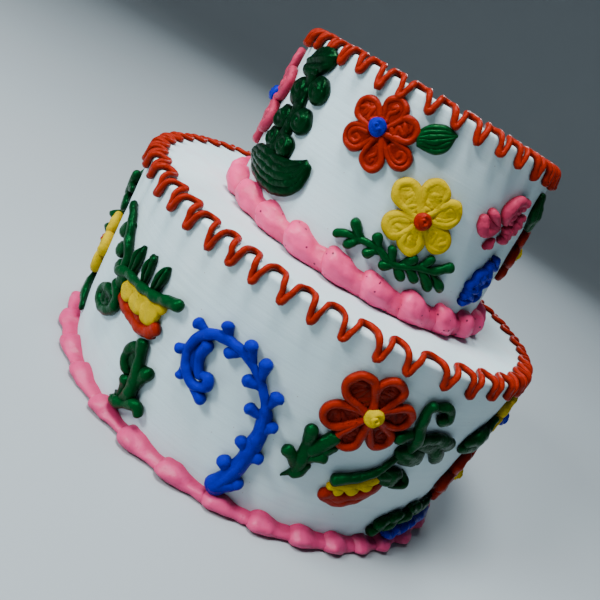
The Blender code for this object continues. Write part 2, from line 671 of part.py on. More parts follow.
def upper_sides():
    flower("upper_left_flower", Drawing(UPPER, -118, 178), "rose_icing", "blue_icing", even_petals(28, 16, 17))
    drawing = Drawing(UPPER)
    united("upper_right_leaf", [leaf(drawing, (109, 190), (96, 207), 12.0)], "green_icing")
    flower("upper_right_flower", Drawing(UPPER, 125, 171), "orange_red_icing", "yellow_icing",
           even_petals(8, 12.5, 14), looped=True)


def upper_back():
    flower("upper_back_yellow_flower", Drawing(UPPER, 178, 186), "yellow_icing", "orange_red_icing",
           even_petals(20, 12.6, 14.5))
    spray = ((-30, 144), (-15, 147), (0, 145), (15, 147), (30, 151))
    fern("upper_back_fern", Drawing(UPPER, 180), "green_icing", spray, 4.2, paired_tips(spray, 13.5, 5.2, 4.6), (0, 145), 1)
    flower("upper_back_red_flower", Drawing(UPPER, 229, 170), "orange_red_icing", "blue_icing",
           even_petals(20, 12, 13.5), looped=True)
    drawing = Drawing(UPPER, -225)
    vine = [
        rope(drawing, ((3, 206), (-4, 190), (3, 173), (-3, 150)), 6.0, 1),
        leaf(drawing, (0, 198), (17, 205), 9.0, back=BACK + LAYER),
        leaf(drawing, (-2, 186), (-18, 194), 9.0, back=BACK + 2 * LAYER),
        leaf(drawing, (0, 180), (17, 184), 9.0, back=BACK + LAYER),
        leaf(drawing, (1, 168), (-16, 172), 9.0, back=BACK + 2 * LAYER),
        leaf(drawing, (-1, 158), (17, 162), 9.0, back=BACK + LAYER),
    ]
    united("upper_back_leaf_vine", vine, "green_icing")
    flower("upper_back_rose_flower", Drawing(UPPER, -180, 184), "rose_icing", "yellow_icing",
           even_petals(20, 13, 14.5))
    curl = ((-158, 142), (-166, 150), (-178, 153), (-192, 148), (-200, 141))
    fern("upper_back_blue_vine", Drawing(UPPER), "blue_icing", curl, 5.5, paired_tips(curl, 13.0, 6.8, 5.0), curl[0], 1)


clear_scene()
cake = bpy.data.collections.new("two_tier_cake")
bpy.context.scene.collection.children.link(cake)
materials = {name: make_material(name) for name in COLOURS}

tier_body("lower_tier", LOWER, LOWER_SIDES)
tier_body("upper_tier", UPPER, UPPER_SIDES)
shell_border("lower_shell_border", LOWER, 0.0, LOWER_SHELLS, LOWER_SHELL_OUT, LOWER_SHELL_UP, LOWER_SHELL_TAIL)
shell_border("upper_shell_border", UPPER, LOWER_HEIGHT + GAP, UPPER_SHELLS, UPPER_SHELL_OUT, UPPER_SHELL_UP,
             UPPER_SHELL_TAIL)
rim_rope("lower_rim_rope", LOWER, LOWER_LOOPS, LOWER_FIRST_TIP, LOWER_TIP_SPACING, LOWER_ROPE_DOWNWARD)
rim_rope("upper_rim_rope", UPPER, UPPER_LOOPS, UPPER_FIRST_TIP, UPPER_TIP_SPACING, UPPER_ROPE_DOWNWARD)
lower_front()
lower_sides()
lower_back()
upper_front()
upper_sides()
upper_back()
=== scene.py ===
"""The dressed two-tier cake: smoothed white buttercream with piped shells, ropes, flowers, ferns and vines.

Icing is drawn in millimetres on the unrolled wall of a tier: how far along it from the front, to the right,
how high above the table, and how far the icing stands off the coat.
"""
import math
import random

import bmesh
import bpy
from mathutils import Matrix, Vector, noise


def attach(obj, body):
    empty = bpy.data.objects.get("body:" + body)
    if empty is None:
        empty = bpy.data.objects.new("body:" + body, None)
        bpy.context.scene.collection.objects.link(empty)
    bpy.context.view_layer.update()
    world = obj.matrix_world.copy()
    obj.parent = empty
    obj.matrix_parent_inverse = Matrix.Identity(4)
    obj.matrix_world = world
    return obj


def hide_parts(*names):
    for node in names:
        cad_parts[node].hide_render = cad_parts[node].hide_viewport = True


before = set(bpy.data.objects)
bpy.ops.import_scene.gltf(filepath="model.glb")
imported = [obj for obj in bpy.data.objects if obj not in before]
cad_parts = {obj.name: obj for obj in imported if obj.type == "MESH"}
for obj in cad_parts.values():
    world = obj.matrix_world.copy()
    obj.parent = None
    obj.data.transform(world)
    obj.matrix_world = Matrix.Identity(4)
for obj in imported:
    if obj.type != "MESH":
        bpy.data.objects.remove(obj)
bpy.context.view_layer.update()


# The two tiers: baked round layers under a coat of white buttercream, smoothed with a scraper that leaves
# faint level streaks and soft hollows. The upper one leans, off centre, and its top slopes.
MM = 0.001
EDGE_ROUNDING = 2.5
WALL_STEP = 1.9
RIM_RUN = 2.6
RIM_STEP = 0.65
RIM_RINGS = 9
TOP_RUN = -4.5
TOP_STEP = 2.4
COOL_WHITE = (0.600, 0.765, 0.812, 1)
WARM_WHITE = (0.665, 0.815, 0.848, 1)
STREAK_GREY = (0.56, 0.708, 0.77, 1)
HAZE_PINK = (0.68, 0.55, 0.62, 1)
CRUMB_BROWN = (0.30, 0.20, 0.19, 1)


class Tier:
    """A round tier. Places on it are in mm: along the unrolled wall, up from the table and off the coat.

    The radii and centres are those of its foot and of its top, and slope is the rise of the top to the right.
    """

    def __init__(self, foot, height, radii, centres, slope):
        self.foot = foot
        self.top = foot + height
        self.height = height
        self.radii = radii
        self.centres = [Vector(centre) for centre in centres]
        self.slope = slope
        self.wall_radius = sum(radii) / 2

    def point(self, along, reach, up):
        share = min(max((up - self.foot) / self.height, 0), 1)
        centre = self.centres[0].lerp(self.centres[1], share)
        angle = along / self.wall_radius
        return Vector((centre.x + reach * math.sin(angle), centre.y - reach * math.cos(angle), up)) * MM

    def on_wall(self, along, up, lift):
        share = min(max((up - self.foot) / self.height, 0), 1)
        return self.point(along, self.radii[0] + (self.radii[1] - self.radii[0]) * share + lift, up)

    def over_rim(self, along, run, lift):
        """Run is 0 on the middle of the rounded rim, less than 0 on the top and more than 0 down the wall."""
        hub = self.radii[1] - EDGE_ROUNDING
        quarter = EDGE_ROUNDING * math.pi / 4
        if run < -quarter:
            spot = self.point(along, hub + run + quarter, self.top + lift)
        elif run > quarter:
            spot = self.on_wall(along, self.top - EDGE_ROUNDING - (run - quarter), lift)
        else:
            turn = math.pi / 4 - run / EDGE_ROUNDING
            reach = EDGE_ROUNDING + lift
            spot = self.point(along, hub + reach * math.cos(turn),
                              self.top - EDGE_ROUNDING + reach * math.sin(turn))
        spot.z += self.slope * spot.x * min(max((spot.z / MM - self.foot) / self.height, 0), 1)
        return spot


class Shade:
    """One output of a shader node. Sums and products of it add Math nodes to its material."""

    def __init__(self, tree, output=None):
        self.tree = tree
        self.output = output

    def node(self, kind, settings, inputs, output=0):
        made = self.tree.nodes.new("ShaderNode" + kind)
        for name, value in settings.items():
            setattr(made, name, value)
        for name, value in inputs.items():
            if isinstance(value, Shade):
                self.tree.links.new(value.output, made.inputs[name])
            else:
                made.inputs[name].default_value = value
        return Shade(self.tree, made.outputs[output])

    def maths(self, operation, other):
        return self.node("Math", {"operation": operation}, {0: self, 1: other})

    def __add__(self, other):
        return self.maths("ADD", other)

    def __mul__(self, other):
        return self.maths("MULTIPLY", other)

    def __rsub__(self, other):
        return self * -1.0 + other

    def __sub__(self, other):
        return self + other * -1.0

    __radd__ = __add__

    def rise(self, low, high):
        """A mask that goes smoothly from 0 where this is low to 1 where it is high."""
        return self.node("MapRange", {"interpolation_type": "SMOOTHSTEP"},
                         {0: self, 1: low, 2: high, 3: 0.0, 4: 1.0})

    def between(self, first, second):
        """A colour that is first where this mask is 0 and second where it is 1."""
        return self.node("Mix", {"data_type": "RGBA"}, {0: self, 6: first, 7: second}, 2)

    def grain(self, place, scale, detail):
        return self.node("TexNoise", {}, {"Vector": place, "Scale": scale, "Detail": detail})

    def specks(self, place, scale, size, share):
        """Small round dots: one round the middle of a random cell, for a share of the cells."""
        cells = {"Vector": place, "Scale": scale}
        near = self.node("TexVoronoi", {}, cells, "Distance").rise(size, size * 0.6)
        chosen = self.node("SeparateColor", {}, {0: self.node("TexVoronoi", {}, cells, "Color")})
        return near * chosen.maths("LESS_THAN", share)


def new_finish(name):
    """A material with its shader, the start of its arithmetic and the place on the cake in metres."""
    material = bpy.data.materials.new(name + "_finish")
    material.use_nodes = True
    shader = material.node_tree.nodes["Principled BSDF"]
    start = Shade(material.node_tree)
    return material, shader, start, start.node("TexCoord", {}, {}, "Object")


def roughened(start, shader, height, distance):
    """Feeds a height to the shader's normal through a bump of so many metres."""
    bump = start.node("Bump", {}, {"Strength": 1.0, "Distance": distance, "Height": height})
    start.tree.links.new(bump.output, shader.inputs["Normal"])


def feed(shader, socket, value):
    shader.id_data.links.new(value.output, shader.inputs[socket])


def set_inputs(shader, values):
    for socket, value in values.items():
        shader.inputs[socket].default_value = value


def buttercream_finish():
    material, shader, start, place = new_finish("white_buttercream")
    level = start.node("Mapping", {}, {"Vector": place, "Scale": (14.0, 14.0, 420.0)})
    streaks = start.grain(level, 1.0, 4.0)
    clouds = start.grain(place, 22.0, 4.0)
    pits = start.grain(place, 900.0, 2.0)
    up = start.node("SeparateXYZ", {}, {0: place}, 2)
    foot_haze = up.rise(0.042, 0.010) + up.rise(0.105, 0.1205) * up.rise(0.165, 0.134)
    haze = foot_haze * start.grain(place, 60.0, 3.0).rise(0.42, 0.72)
    coat = clouds.rise(0.3, 0.7).between(COOL_WHITE, WARM_WHITE)
    coat = (streaks.rise(0.5, 0.75) * 0.35).between(coat, STREAK_GREY)
    coat = (haze * 0.22).between(coat, HAZE_PINK)
    crumbs = start.specks(place, 520.0, 0.16, 0.035)
    feed(shader, "Base Color", (crumbs * 0.75).between(coat, CRUMB_BROWN))
    feed(shader, "Roughness", 0.50 + clouds * 0.10 + streaks * 0.06)
    roughened(start, shader, streaks * 0.5 + pits * 0.16 + clouds * 1.0, 0.00035)
    set_inputs(shader, {"Subsurface Weight": 0.12, "Subsurface Radius": (1.0, 0.8, 0.6),
                        "Subsurface Scale": 0.0025})
    return material


def set_down(name, mesh, finish, slot, *nodes):
    """Makes a finished mesh one piece of the cake that takes the place of the CAD nodes named."""
    mesh.materials.append(finish)
    mesh.shade_smooth()
    piece = bpy.data.objects.new(name, mesh)
    bpy.context.scene.collection.objects.link(piece)
    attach(piece, "root")
    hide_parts(*nodes)


def coat_mesh(tier, around):
    """The coat's wall, rounded edge and top, with soft hollows that never stand proud of its true size."""
    wall = tier.height - EDGE_ROUNDING + EDGE_ROUNDING * math.pi / 4
    runs = [wall - WALL_STEP * step for step in range(int((wall - 3) / WALL_STEP))]
    runs += [RIM_RUN - RIM_STEP * step for step in range(RIM_RINGS)]
    runs += [TOP_RUN - TOP_STEP * step for step in range(int((tier.radii[1] - 8) / TOP_STEP))]
    skin = bmesh.new()
    rings = []
    for run in runs:
        ring = []
        for step in range(around):
            along = 2 * math.pi * tier.wall_radius * step / around
            spot = tier.over_rim(along, run, 0)
            hollow = 0.22 * noise.noise(spot * 26) + 0.10 * noise.noise(spot * 75) - 0.30
            hollow += 0.05 * noise.noise(Vector((spot.x * 9, spot.y * 9, spot.z * 330)))
            ring.append(skin.verts.new(tier.over_rim(along, run, hollow * min(1, (wall - run) / 4))))
        rings.append(ring)
    for low, high in zip(rings, rings[1:]):
        for here in range(around):
            there = (here + 1) % around
            skin.faces.new((low[here], low[there], high[there], high[here]))
    skin.faces.new(list(reversed(rings[0])))
    skin.faces.new(rings[-1])
    bmesh.ops.recalc_face_normals(skin, faces=skin.faces)
    mesh = bpy.data.meshes.new("coat")
    skin.to_mesh(mesh)
    skin.free()
    return mesh


LOWER = Tier(foot=0.0, height=119.4, radii=(127.0, 131.0), centres=((0, 0), (0, 0)), slope=0.0)
UPPER = Tier(foot=119.7, height=98.4, radii=(81.7, 78.4), centres=((3.7, -5.2), (-2.0, -4.6)), slope=0.03)
white_buttercream = buttercream_finish()
set_down("lower_coat", coat_mesh(LOWER, around=300), white_buttercream, "white_buttercream", "lower_tier")
set_down("upper_coat", coat_mesh(UPPER, around=220), white_buttercream, "white_buttercream", "upper_tier")


# The shell borders: pink icing squeezed into plump shells one after another round the foot of each tier, each
# head laid over the tail before it. The upper ones are taller, pressed to the wall and full of dark specks.
LOWER_PINK = (0.67, 0.056, 0.190, 1)
UPPER_PINK = (0.96, 0.072, 0.245, 1)
# The deep pinks colour the darker clouds and smears of the icing, and also its painted shade in creases.
LOWER_PINK_DEEP_AND_SHADED = (0.46, 0.024, 0.105, 1)
UPPER_PINK_DEEP_AND_SHADED = (0.66, 0.034, 0.135, 1)
SPECK_BROWN = (0.07, 0.005, 0.02, 1)
SHELL_OVERLAP = 1.22
HEAD_RISE = 0.24
NECK_START = 0.32
NECK_RUN = 0.42
SHELL_RINGS = 30
SHELL_SIDES = 30
ROPE_FLATNESS = 0.85
ROPE_UNEVENNESS = 0.13
ROPE_END_TURNS = (25, 48, 68, 84, 90)
MOUND_UNEVENNESS = 0.05
MOUND_SIDES = 36
MOUND_SCALES = (0.96, 1.0, 0.985, 0.94, 0.86, 0.75, 0.62, 0.48, 0.34, 0.2, 0.08)
MOUND_ROOT = 0.4


def flow(points, spacing):
    """A smooth curve through points of equally many numbers, cut into spans of about the spacing."""
    ends = [points[0]] + list(points) + [points[-1]]
    path = []
    for before, start, end, after in zip(ends, ends[1:], ends[2:], ends[3:]):
        steps = max(2, round(math.dist(start[:2], end[:2]) / spacing))
        for step in range(steps):
            t = step / steps
            path.append(tuple(
                0.5 * (2 * b + (c - a) * t + (2 * a - 5 * b + 4 * c - d) * t * t
                       + (3 * b - a - 3 * c + d) * t ** 3)
                for a, b, c, d in zip(before, start, end, after)))
    path.append(tuple(points[-1]))
    return path


class Piping:
    """Icing piped on one surface. Its strokes are gathered in mm and laid as one mesh when it is done.

    Each vertex keeps its height over the coat, times the shade lift scale, and the finish paints shade by it:
    it turns deeper in colour where that is low, in creases and at the feet of strokes.
    """

    def __init__(self, surface, seed, across=0.0, up=0.0, side=1, uneven=0.6, shade_lift_scale=1.0):
        self.surface = surface
        self.uneven = uneven
        self.shade_lift_scale = shade_lift_scale
        self.draw = random.Random(seed)
        self.across = across
        self.up = up
        self.side = side
        self.skin = bmesh.new()
        self.lift = self.skin.verts.layers.float.new("lift")

    def vertex(self, x, y, lift):
        """A vertex a little out of place, as icing that is piped by hand never runs true."""
        spot = Vector((x, y, lift * 1.4)) * 0.16
        x += self.uneven * noise.noise(spot)
        y += self.uneven * noise.noise(spot + Vector((31, 0, 0)))
        lift += self.uneven * noise.noise(spot + Vector((0, 57, 0))) * min(max(lift, 0), 1)
        made = self.skin.verts.new(self.surface(self.across + self.side * x, self.up + y, lift))
        # The lift kept here drives the painted shade of the finish.
        made[self.lift] = lift * self.shade_lift_scale
        return made

    def loft(self, rings, closed=False):
        """Skins rings of points; a ring of one point closes an end."""
        rows = [[self.vertex(*point) for point in ring] for ring in rings]
        pairs = list(zip(rows, rows[1:]))
        if closed:
            pairs.append((rows[-1], rows[0]))
        for first, second in pairs:
            sides = max(len(first), len(second))
            for here in range(sides):
                there = (here + 1) % sides
                if len(first) == 1:
                    self.skin.faces.new((first[0], second[there], second[here]))
                elif len(second) == 1:
                    self.skin.faces.new((first[here], first[there], second[0]))
                else:
                    self.skin.faces.new((first[here], first[there], second[there], second[here]))

    def rope(self, points, width, height=None, lift=0.0, sides=12, spacing=0.8, closed=False):
        """A rope through points of x and y, each with its own share of the width and lift if it has them."""
        height = height or width * ROPE_FLATNESS
        path = flow([tuple(point) + (1.0, 0.0)[len(point) - 2:] for point in points], spacing)
        wave = self.draw.uniform(0, 99)
        stations = []
        for index, (x, y, share, above) in enumerate(path):
            before = path[index - 1] if index or closed else path[0]
            after = path[(index + 1) % len(path)] if closed else path[min(index + 1, len(path) - 1)]
            heading = Vector((after[0] - before[0], after[1] - before[1])).normalized()
            thick = share * (1 + ROPE_UNEVENNESS * noise.noise(Vector((index * spacing * 0.2, wave, 0))))
            stations.append((x, y, heading, width * thick, height * thick, lift + above, 1.0))
        if not closed:
            stations = self.rounded(stations, 0, -1) + stations + self.rounded(stations, -1, 1)
        rings = []
        for x, y, heading, wide, high, above, scale in stations:
            ring = []
            for corner in range(sides):
                turn = 2 * math.pi * corner / sides
                aside = math.cos(turn) * wide / 2 * scale
                rise = above + high * (0.40 + 0.60 * math.sin(turn) * scale)
                ring.append((x - heading.y * aside, y + heading.x * aside, rise))
            rings.append(ring if scale > 0 else ring[:1])
        self.loft(rings, closed)

    def rounded(self, stations, end, way):
        """The stations that round off an end, from the rope outwards for way 1 and inwards for way -1."""
        x, y, heading, wide, high, above, _ = stations[end]
        caps = []
        for degrees in ROPE_END_TURNS:
            turn = math.radians(degrees)
            push = way * math.sin(turn) * wide * 0.46
            scale = math.cos(turn) if degrees < 90 else 0
            caps.append((x + heading.x * push, y + heading.y * push, heading, wide, high, above, scale))
        return caps if way > 0 else caps[::-1]

    def mound(self, x, y, length, width, height, turn=0.0, lift=0.0, fullness=3.0, relief=None):
        """A mound with an oval outline; relief gives mm to add at a place in its own outline of -1 to 1."""
        wave = self.draw.uniform(0, 99)
        cosine = math.cos(turn)
        sine = math.sin(turn)
        rings = []
        for scale in MOUND_SCALES:
            ring = []
            for step in range(MOUND_SIDES):
                angle = 2 * math.pi * step / MOUND_SIDES
                u = scale * math.cos(angle)
                v = scale * math.sin(angle)
                uneven = 1 + MOUND_UNEVENNESS * noise.noise(
                    Vector((math.cos(angle) * 1.4, math.sin(angle) * 1.4, wave)))
                far = u * length / 2 * uneven
                wide = v * width / 2 * uneven
                if rings:
                    rise = height * (0.25 + 0.75 * (1 - scale ** fullness) ** 0.5)
                    rise += relief(u, v) * min(1, (1 - scale) * 5) if relief else 0
                else:
                    rise = -MOUND_ROOT
                ring.append((x + far * cosine - wide * sine, y + far * sine + wide * cosine, lift + rise))
            rings.append(ring)
        middle = height + (relief(0, 0) if relief else 0)
        self.loft([[(x, y, lift - MOUND_ROOT)]] + rings + [[(x, y, lift + middle)]])

    def lay(self, node, finish):
        """Closes the work: makes it the piece that shows for a CAD node, in the finish given."""
        bmesh.ops.recalc_face_normals(self.skin, faces=self.skin.faces)
        mesh = bpy.data.meshes.new(node + "_piped")
        self.skin.to_mesh(mesh)
        self.skin.free()
        set_down(node + "_piped", mesh, finish, finish.name.removesuffix("_finish"), node)


def border_finish():
    material, shader, start, place = new_finish("pink_icing")
    clouds = start.grain(place, 45.0, 4.0)
    smears = start.grain(start.node("Mapping", {}, {"Vector": place, "Scale": (90.0, 90.0, 260.0)}), 1.0, 3.0)
    up = start.node("SeparateXYZ", {}, {0: place}, 2)
    upper = up.rise(0.10, 0.12)
    pale = upper.between(LOWER_PINK, UPPER_PINK)
    deep = upper.between(LOWER_PINK_DEEP_AND_SHADED, UPPER_PINK_DEEP_AND_SHADED)
    # Painted shade: the pink turns deep where the icing stands low over the coat, between shells and at their
    # feet.
    crease_shade = 1.0 - start.node("Attribute", {"attribute_name": "lift"}, {}, "Fac").rise(2.0, 6.6)
    depth = clouds.rise(0.35, 0.7) * 0.4 + smears.rise(0.45, 0.75) * 0.3 + crease_shade * 0.9
    colour = depth.maths("MINIMUM", 1.0).between(pale, deep)
    specks = start.specks(place, 400.0, 0.26, 0.20) * (0.15 + upper * 0.85)
    feed(shader, "Base Color", (specks * 0.9).between(colour, SPECK_BROWN))
    feed(shader, "Roughness", 0.36 + clouds * 0.16)
    roughened(start, shader, smears * 0.8 + start.grain(place, 520.0, 3.0) * 0.4 - specks * 0.8, 0.0006)
    set_inputs(shader, {"Specular IOR Level": 0.3, "Subsurface Weight": 0.15,
                        "Subsurface Radius": (1.0, 0.45, 0.5), "Subsurface Scale": 0.0022})
    return material


pink_icing = border_finish()


def shell_border(node, tier, heads, out, high, evenness, tail, slant, folds):
    """Shells from head to head, so many mm out and high, with tails that are a share of that.

    An evenness under 1 keeps a tail nearly as high as its head, slant leans the shells back along the wall,
    and folds is the depth of their ridges.
    """
    def beside_wall(along, up, reach):
        return tier.point(along, tier.radii[0] + reach, max(up, tier.foot + 0.05))

    border = Piping(beside_wall, node, uneven=0.9)
    ends = heads[1:] + (heads[0] + 2 * math.pi * tier.wall_radius,)
    for shell, (head, after) in enumerate(zip(heads, ends)):
        size = 1 + border.draw.uniform(-0.06, 0.05)
        start = head + border.draw.uniform(-0.8, 0.8)
        length = (after - head) * SHELL_OVERLAP
        rings = []
        for step in range(SHELL_RINGS + 1):
            share = step / SHELL_RINGS
            rise = min(share / HEAD_RISE, 1)
            fall = min(max((share - NECK_START) / NECK_RUN, 0), 1)
            swell = (1 - (1 - rise) ** 2) ** 0.5 * (1 - (1 - tail) * (3 * fall ** 2 - 2 * fall ** 3))
            swell *= size * (1 - max(0, (share - 0.9) / 0.1) ** 2 * 0.45)
            tall = swell ** evenness
            ring = []
            for corner in range(SHELL_SIDES):
                turn = 2 * math.pi * corner / SHELL_SIDES
                fold = math.sin(2.6 * turn + 9 * share + 1.7 * shell)
                fold += 0.5 * math.sin(5 * turn - 6 * share + shell)
                ridge = folds * fold * swell
                reach = math.cos(turn) * (out + ridge) * swell
                up = high * tall * 0.46 + (high * 0.54 + ridge) * math.sin(turn) * tall
                along = start + share * length - slant * (up - high / 2) - 0.06 * reach
                ring.append((along, tier.foot + max(up, 0.1), max(reach, -4)))
            tip = [(start + share * length, tier.foot + high * 0.42, 1.0)]
            rings.append(ring if 0 < step < SHELL_RINGS else tip)
        border.loft(rings)
    border.lay(node, pink_icing)


LOWER_HEADS = (-101, -75, -49, -22.5, 3, 28.5, 52, 74, 94, 113, 132)
shell_border("lower_shell_border", LOWER, LOWER_HEADS + tuple(132 + 26.25 * shell for shell in range(1, 22)),
             out=10.4, high=8.4, evenness=1.0, tail=0.67, slant=0.10, folds=0.08)
shell_border("upper_shell_border", UPPER, tuple(-55 + 21.87 * shell for shell in range(23)),
             out=8.8, high=15.2, evenness=0.42, tail=0.53, slant=0.26, folds=0.30)


# The looped ropes: a round rope of orange-red icing trailed over each rim without a break, in arches on
# the top and narrow points down the wall, where the two strands sink into each other.
TRAIL_WIDTH = 3.0
TRAIL_HEIGHT = 2.9


def icing_finish(name, bright, deep, gloss, shine=0.18):
    """Coloured icing: bright on its crests, with painted shade that turns it deep in its creases, and with
    deeper clouds, bubbles and drag lines.
    """
    material, shader, start, place = new_finish(name)
    lift = start.node("Attribute", {"attribute_name": "lift"}, {}, "Fac")
    clouds = start.grain(place, 130.0, 4.0)
    drags = start.grain(place, 420.0, 3.0)
    pores = start.grain(place, 1100.0, 2.0)
    # Painted shade: the colour turns deep where the icing stands low over the coat, in creases and at the
    # feet of strokes; the clouds add uneven tone.
    crease_shade = 1.0 - lift.rise(0.7, 4.0)
    depth = (crease_shade * 0.9 + clouds.rise(0.45, 0.75) * 0.3).maths("MINIMUM", 1.0)
    bubbles = start.specks(place, 700.0, 0.24, 0.07)
    feed(shader, "Base Color", (bubbles * 0.5).between(depth.between(bright, deep), deep))
    feed(shader, "Roughness", gloss + clouds * 0.14)
    roughened(start, shader, clouds * 0.9 + drags * 0.55 + pores * 0.16 - bubbles * 0.4, 0.0008)
    tint = [0.04 + 0.96 * part / max(bright[:3]) for part in bright[:3]]
    set_inputs(shader, {"Specular IOR Level": shine, "Specular Tint": tint + [1]})
    return material


orange_red_icing = icing_finish("orange_red_icing", bright=(0.285, 0.0140, 0.0045, 1),
                                deep=(0.068, 0.0018, 0.0006, 1), gloss=0.28, shine=0.26)


def rim_rope(node, tier, loops, first, spacing, down, inward):
    """A closed rope of loops, spaced one by one from the first tip where the front shows and evenly behind.

    Its tips hang so many mm down the wall, and its arches reach so many mm inward on the top.
    """
    trail = Piping(tier.over_rim, node, uneven=0.5, shade_lift_scale=1.9)
    tips = [first]
    for gap in spacing:
        tips.append(tips[-1] + gap)
    rest = loops - len(spacing)
    left = 2 * math.pi * tier.wall_radius - (tips[-1] - tips[0])
    for index in range(rest - 1):
        tips.append(tips[len(spacing)] + left * (index + 1 + trail.draw.uniform(-0.12, 0.12)) / rest)
    tips.append(tips[0] + 2 * math.pi * tier.wall_radius)
    path = []
    for tip, after in zip(tips, tips[1:]):
        gap = after - tip
        drop = down + trail.draw.uniform(-1.0, 1.2)
        deep = inward + trail.draw.uniform(-0.8, 0.8)
        lean = trail.draw.uniform(-0.04, 0.04)
        for share, aside, run, thick, above in (
                (0, 0, drop, 1.3, 0.2), (0, 1.15, drop * 0.84, 1.15, 0.4), (0, 1.6, drop * 0.5, 1.05, 0.5),
                (0.03, 1.9, drop * 0.16, 1, 0.4), (0.20, 0, -deep * 0.22, 1, 0.1),
                (0.26, 0, -deep * 0.62, 1, 0), (0.36, 0, -deep * 0.93, 1, 0), (0.49, 0, -deep, 1, 0),
                (0.62, 0, -deep * 0.9, 1, 0), (0.72, 0, -deep * 0.55, 1, 0), (0.79, 0, -deep * 0.1, 1, 0),
                (0.86, 0, drop * 0.28, 1, 0), (1, -1.5, drop * 0.6, 1.05, 0),
                (1, -1.0, drop * 0.86, 1.15, 0)):
            sway = lean if 0.2 < share < 0.8 else 0
            path.append((tip + (share + sway) * gap + aside, run, thick, above))
    trail.rope(path, TRAIL_WIDTH, TRAIL_HEIGHT, closed=True, sides=10, spacing=0.9)
    trail.lay(node, orange_red_icing)


rim_rope("lower_rim_rope", LOWER, loops=47, first=-121,
         spacing=(18, 16, 16, 16, 14, 13, 16, 15, 16, 18, 16, 23, 18, 19), down=8.0, inward=6.4)
rim_rope("upper_rim_rope", UPPER, loops=37, first=-66, spacing=(12, 13, 13, 12, 15, 14, 13, 14, 13, 16),
         down=6.6, inward=5.4)


# The left vine: a thick green stem with lobes, doubled leaves that stand up from it and a coiled leaf
# that hangs, over three yellow scallops and the orange edge that was piped first.
yellow_icing = icing_finish("yellow_icing", bright=(0.57, 0.392, 0.0, 1), deep=(0.42, 0.25, 0.0, 1),
                            gloss=0.42, shine=0.06)
green_icing = icing_finish("green_icing", bright=(0.0003, 0.0400, 0.0085, 1),
                           deep=(0.0001, 0.0060, 0.0020, 1), gloss=0.22)


def folded_leaf(work, base, tip, width, lift=0.0):
    """A leaf of two strokes side by side that meet at its tip, over a flat one."""
    along = Vector(tip) - Vector(base)
    aside = Vector((-along.y, along.x)).normalized() * width / 2
    middle = Vector(base) + along * 0.5
    work.rope((base, tuple(Vector(base) + along * 0.8)), width * 0.7, 3.0, lift)
    for way, above in ((-1, 0.0), (1, 0.5)):
        foot = Vector(base) + aside * way * 0.35
        bulge = middle + aside * way * 0.62
        near = Vector(base) + along * 0.8 + aside * way * 0.42
        work.rope(((*foot, 0.8), (*bulge, 1.1), (*near, 0.95), (*tip, 0.55)), width * 0.55, 3.9, lift + above)


vine = Piping(LOWER.on_wall, "left vine", shade_lift_scale=0.65)
vine.mound(-103, 45, 21, 14.5, 3.0, 0.15, fullness=5,
           relief=lambda u, v: 0.7 * math.sin(9 * math.hypot(u, v) + math.atan2(v, u)))
vine.rope(((-99, 57.5, 1.2), (-94.5, 53), (-93, 47), (-97, 42), (-103.5, 39.4), (-109.8, 40), (-113, 43.8),
           (-110, 48.8), (-103.5, 50.6), (-99.2, 48.5, 0.7), (-101, 45, 0.6), (-105.5, 44.8, 0.5)), 6.2, 4.8)
vine.rope(((-96, 66), (-96.8, 61), (-98.2, 56, 0.9)), 7.4, 4.8, lift=0.3)
for x, y, root_x, root_y in ((-118.6, 79.8, -113, 86), (-112, 71.2, -106.5, 78), (-104.4, 64.4, -100, 69)):
    vine.rope(((x, y, 1.1), ((x + root_x) / 2, (y + root_y) / 2, 0.9), (root_x, root_y, 0.5)), 9.0, 4.8)
vine.rope(((-99, 66, 0.9), (-101, 71.5), (-104.6, 76.4), (-109.2, 80.8), (-113.4, 85.3, 0.95),
           (-118.8, 89.6, 0.85), (-124.5, 93.0, 0.8)), 5.3, lift=0.5)
folded_leaf(vine, (-92.4, 69), (-93.0, 85.0), 5.2)
folded_leaf(vine, (-80.4, 72), (-81.4, 87.0), 4.4)
folded_leaf(vine, (-71.2, 73.5), (-69.4, 88.2), 5.2)
vine.rope(((-80.6, 85.4), (-82.8, 86.6, 0.7), (-84.8, 84.6, 0.4)), 3.4, lift=0.8)
vine.rope(((-101, 64.5, 0.9), (-96.5, 67, 0.95), (-89, 68.8, 0.85), (-78.7, 70.2, 0.85), (-70, 71.8, 0.9),
           (-62, 74.6), (-56, 77.2), (-52.5, 78.4, 1.08)), 6.2, lift=1.4)
vine.lay("lower_left_vine", green_icing)

scallops = Piping(LOWER.on_wall, "left scallops")
for x, y, length, width in ((-87.3, 61.5, 11.5, 12), (-76.6, 62.3, 13, 13), (-67.2, 63.4, 13, 14)):
    scallops.mound(x, y, length, width, 4.2, 0.15, fullness=5, lift=0.3,
                   relief=lambda u, v: 0.35 * math.sin(7 * u + 2 * v))
scallops.rope(((-89, 65.5), (-76, 67), (-62, 70)), 8, 3.8)
scallops.rope(((-63.8, 71, 0.8), (-62.6, 66), (-62.8, 60.5, 0.8)), 4.6, 3.8)
scallops.lay("lower_left_scallops", yellow_icing)

edging = Piping(LOWER.on_wall, "left edging")
edging.rope(((-92.5, 54.8, 0.8), (-86, 53.6), (-80.5, 53.2), (-74.5, 52.6), (-67.5, 53), (-62.2, 55.4, 1.1),
             (-59.2, 59.0, 1.1)), 6.8, 3.9)
edging.rope(((-90, 56), (-75, 55), (-61, 58)), 6.8, 2.8)
for x, y in ((-79, 52.2), (-70, 52.0), (-62.8, 54.6)):
    edging.mound(x, y, 10, 6.0, 3.8)
edging.lay("lower_left_band", orange_red_icing)


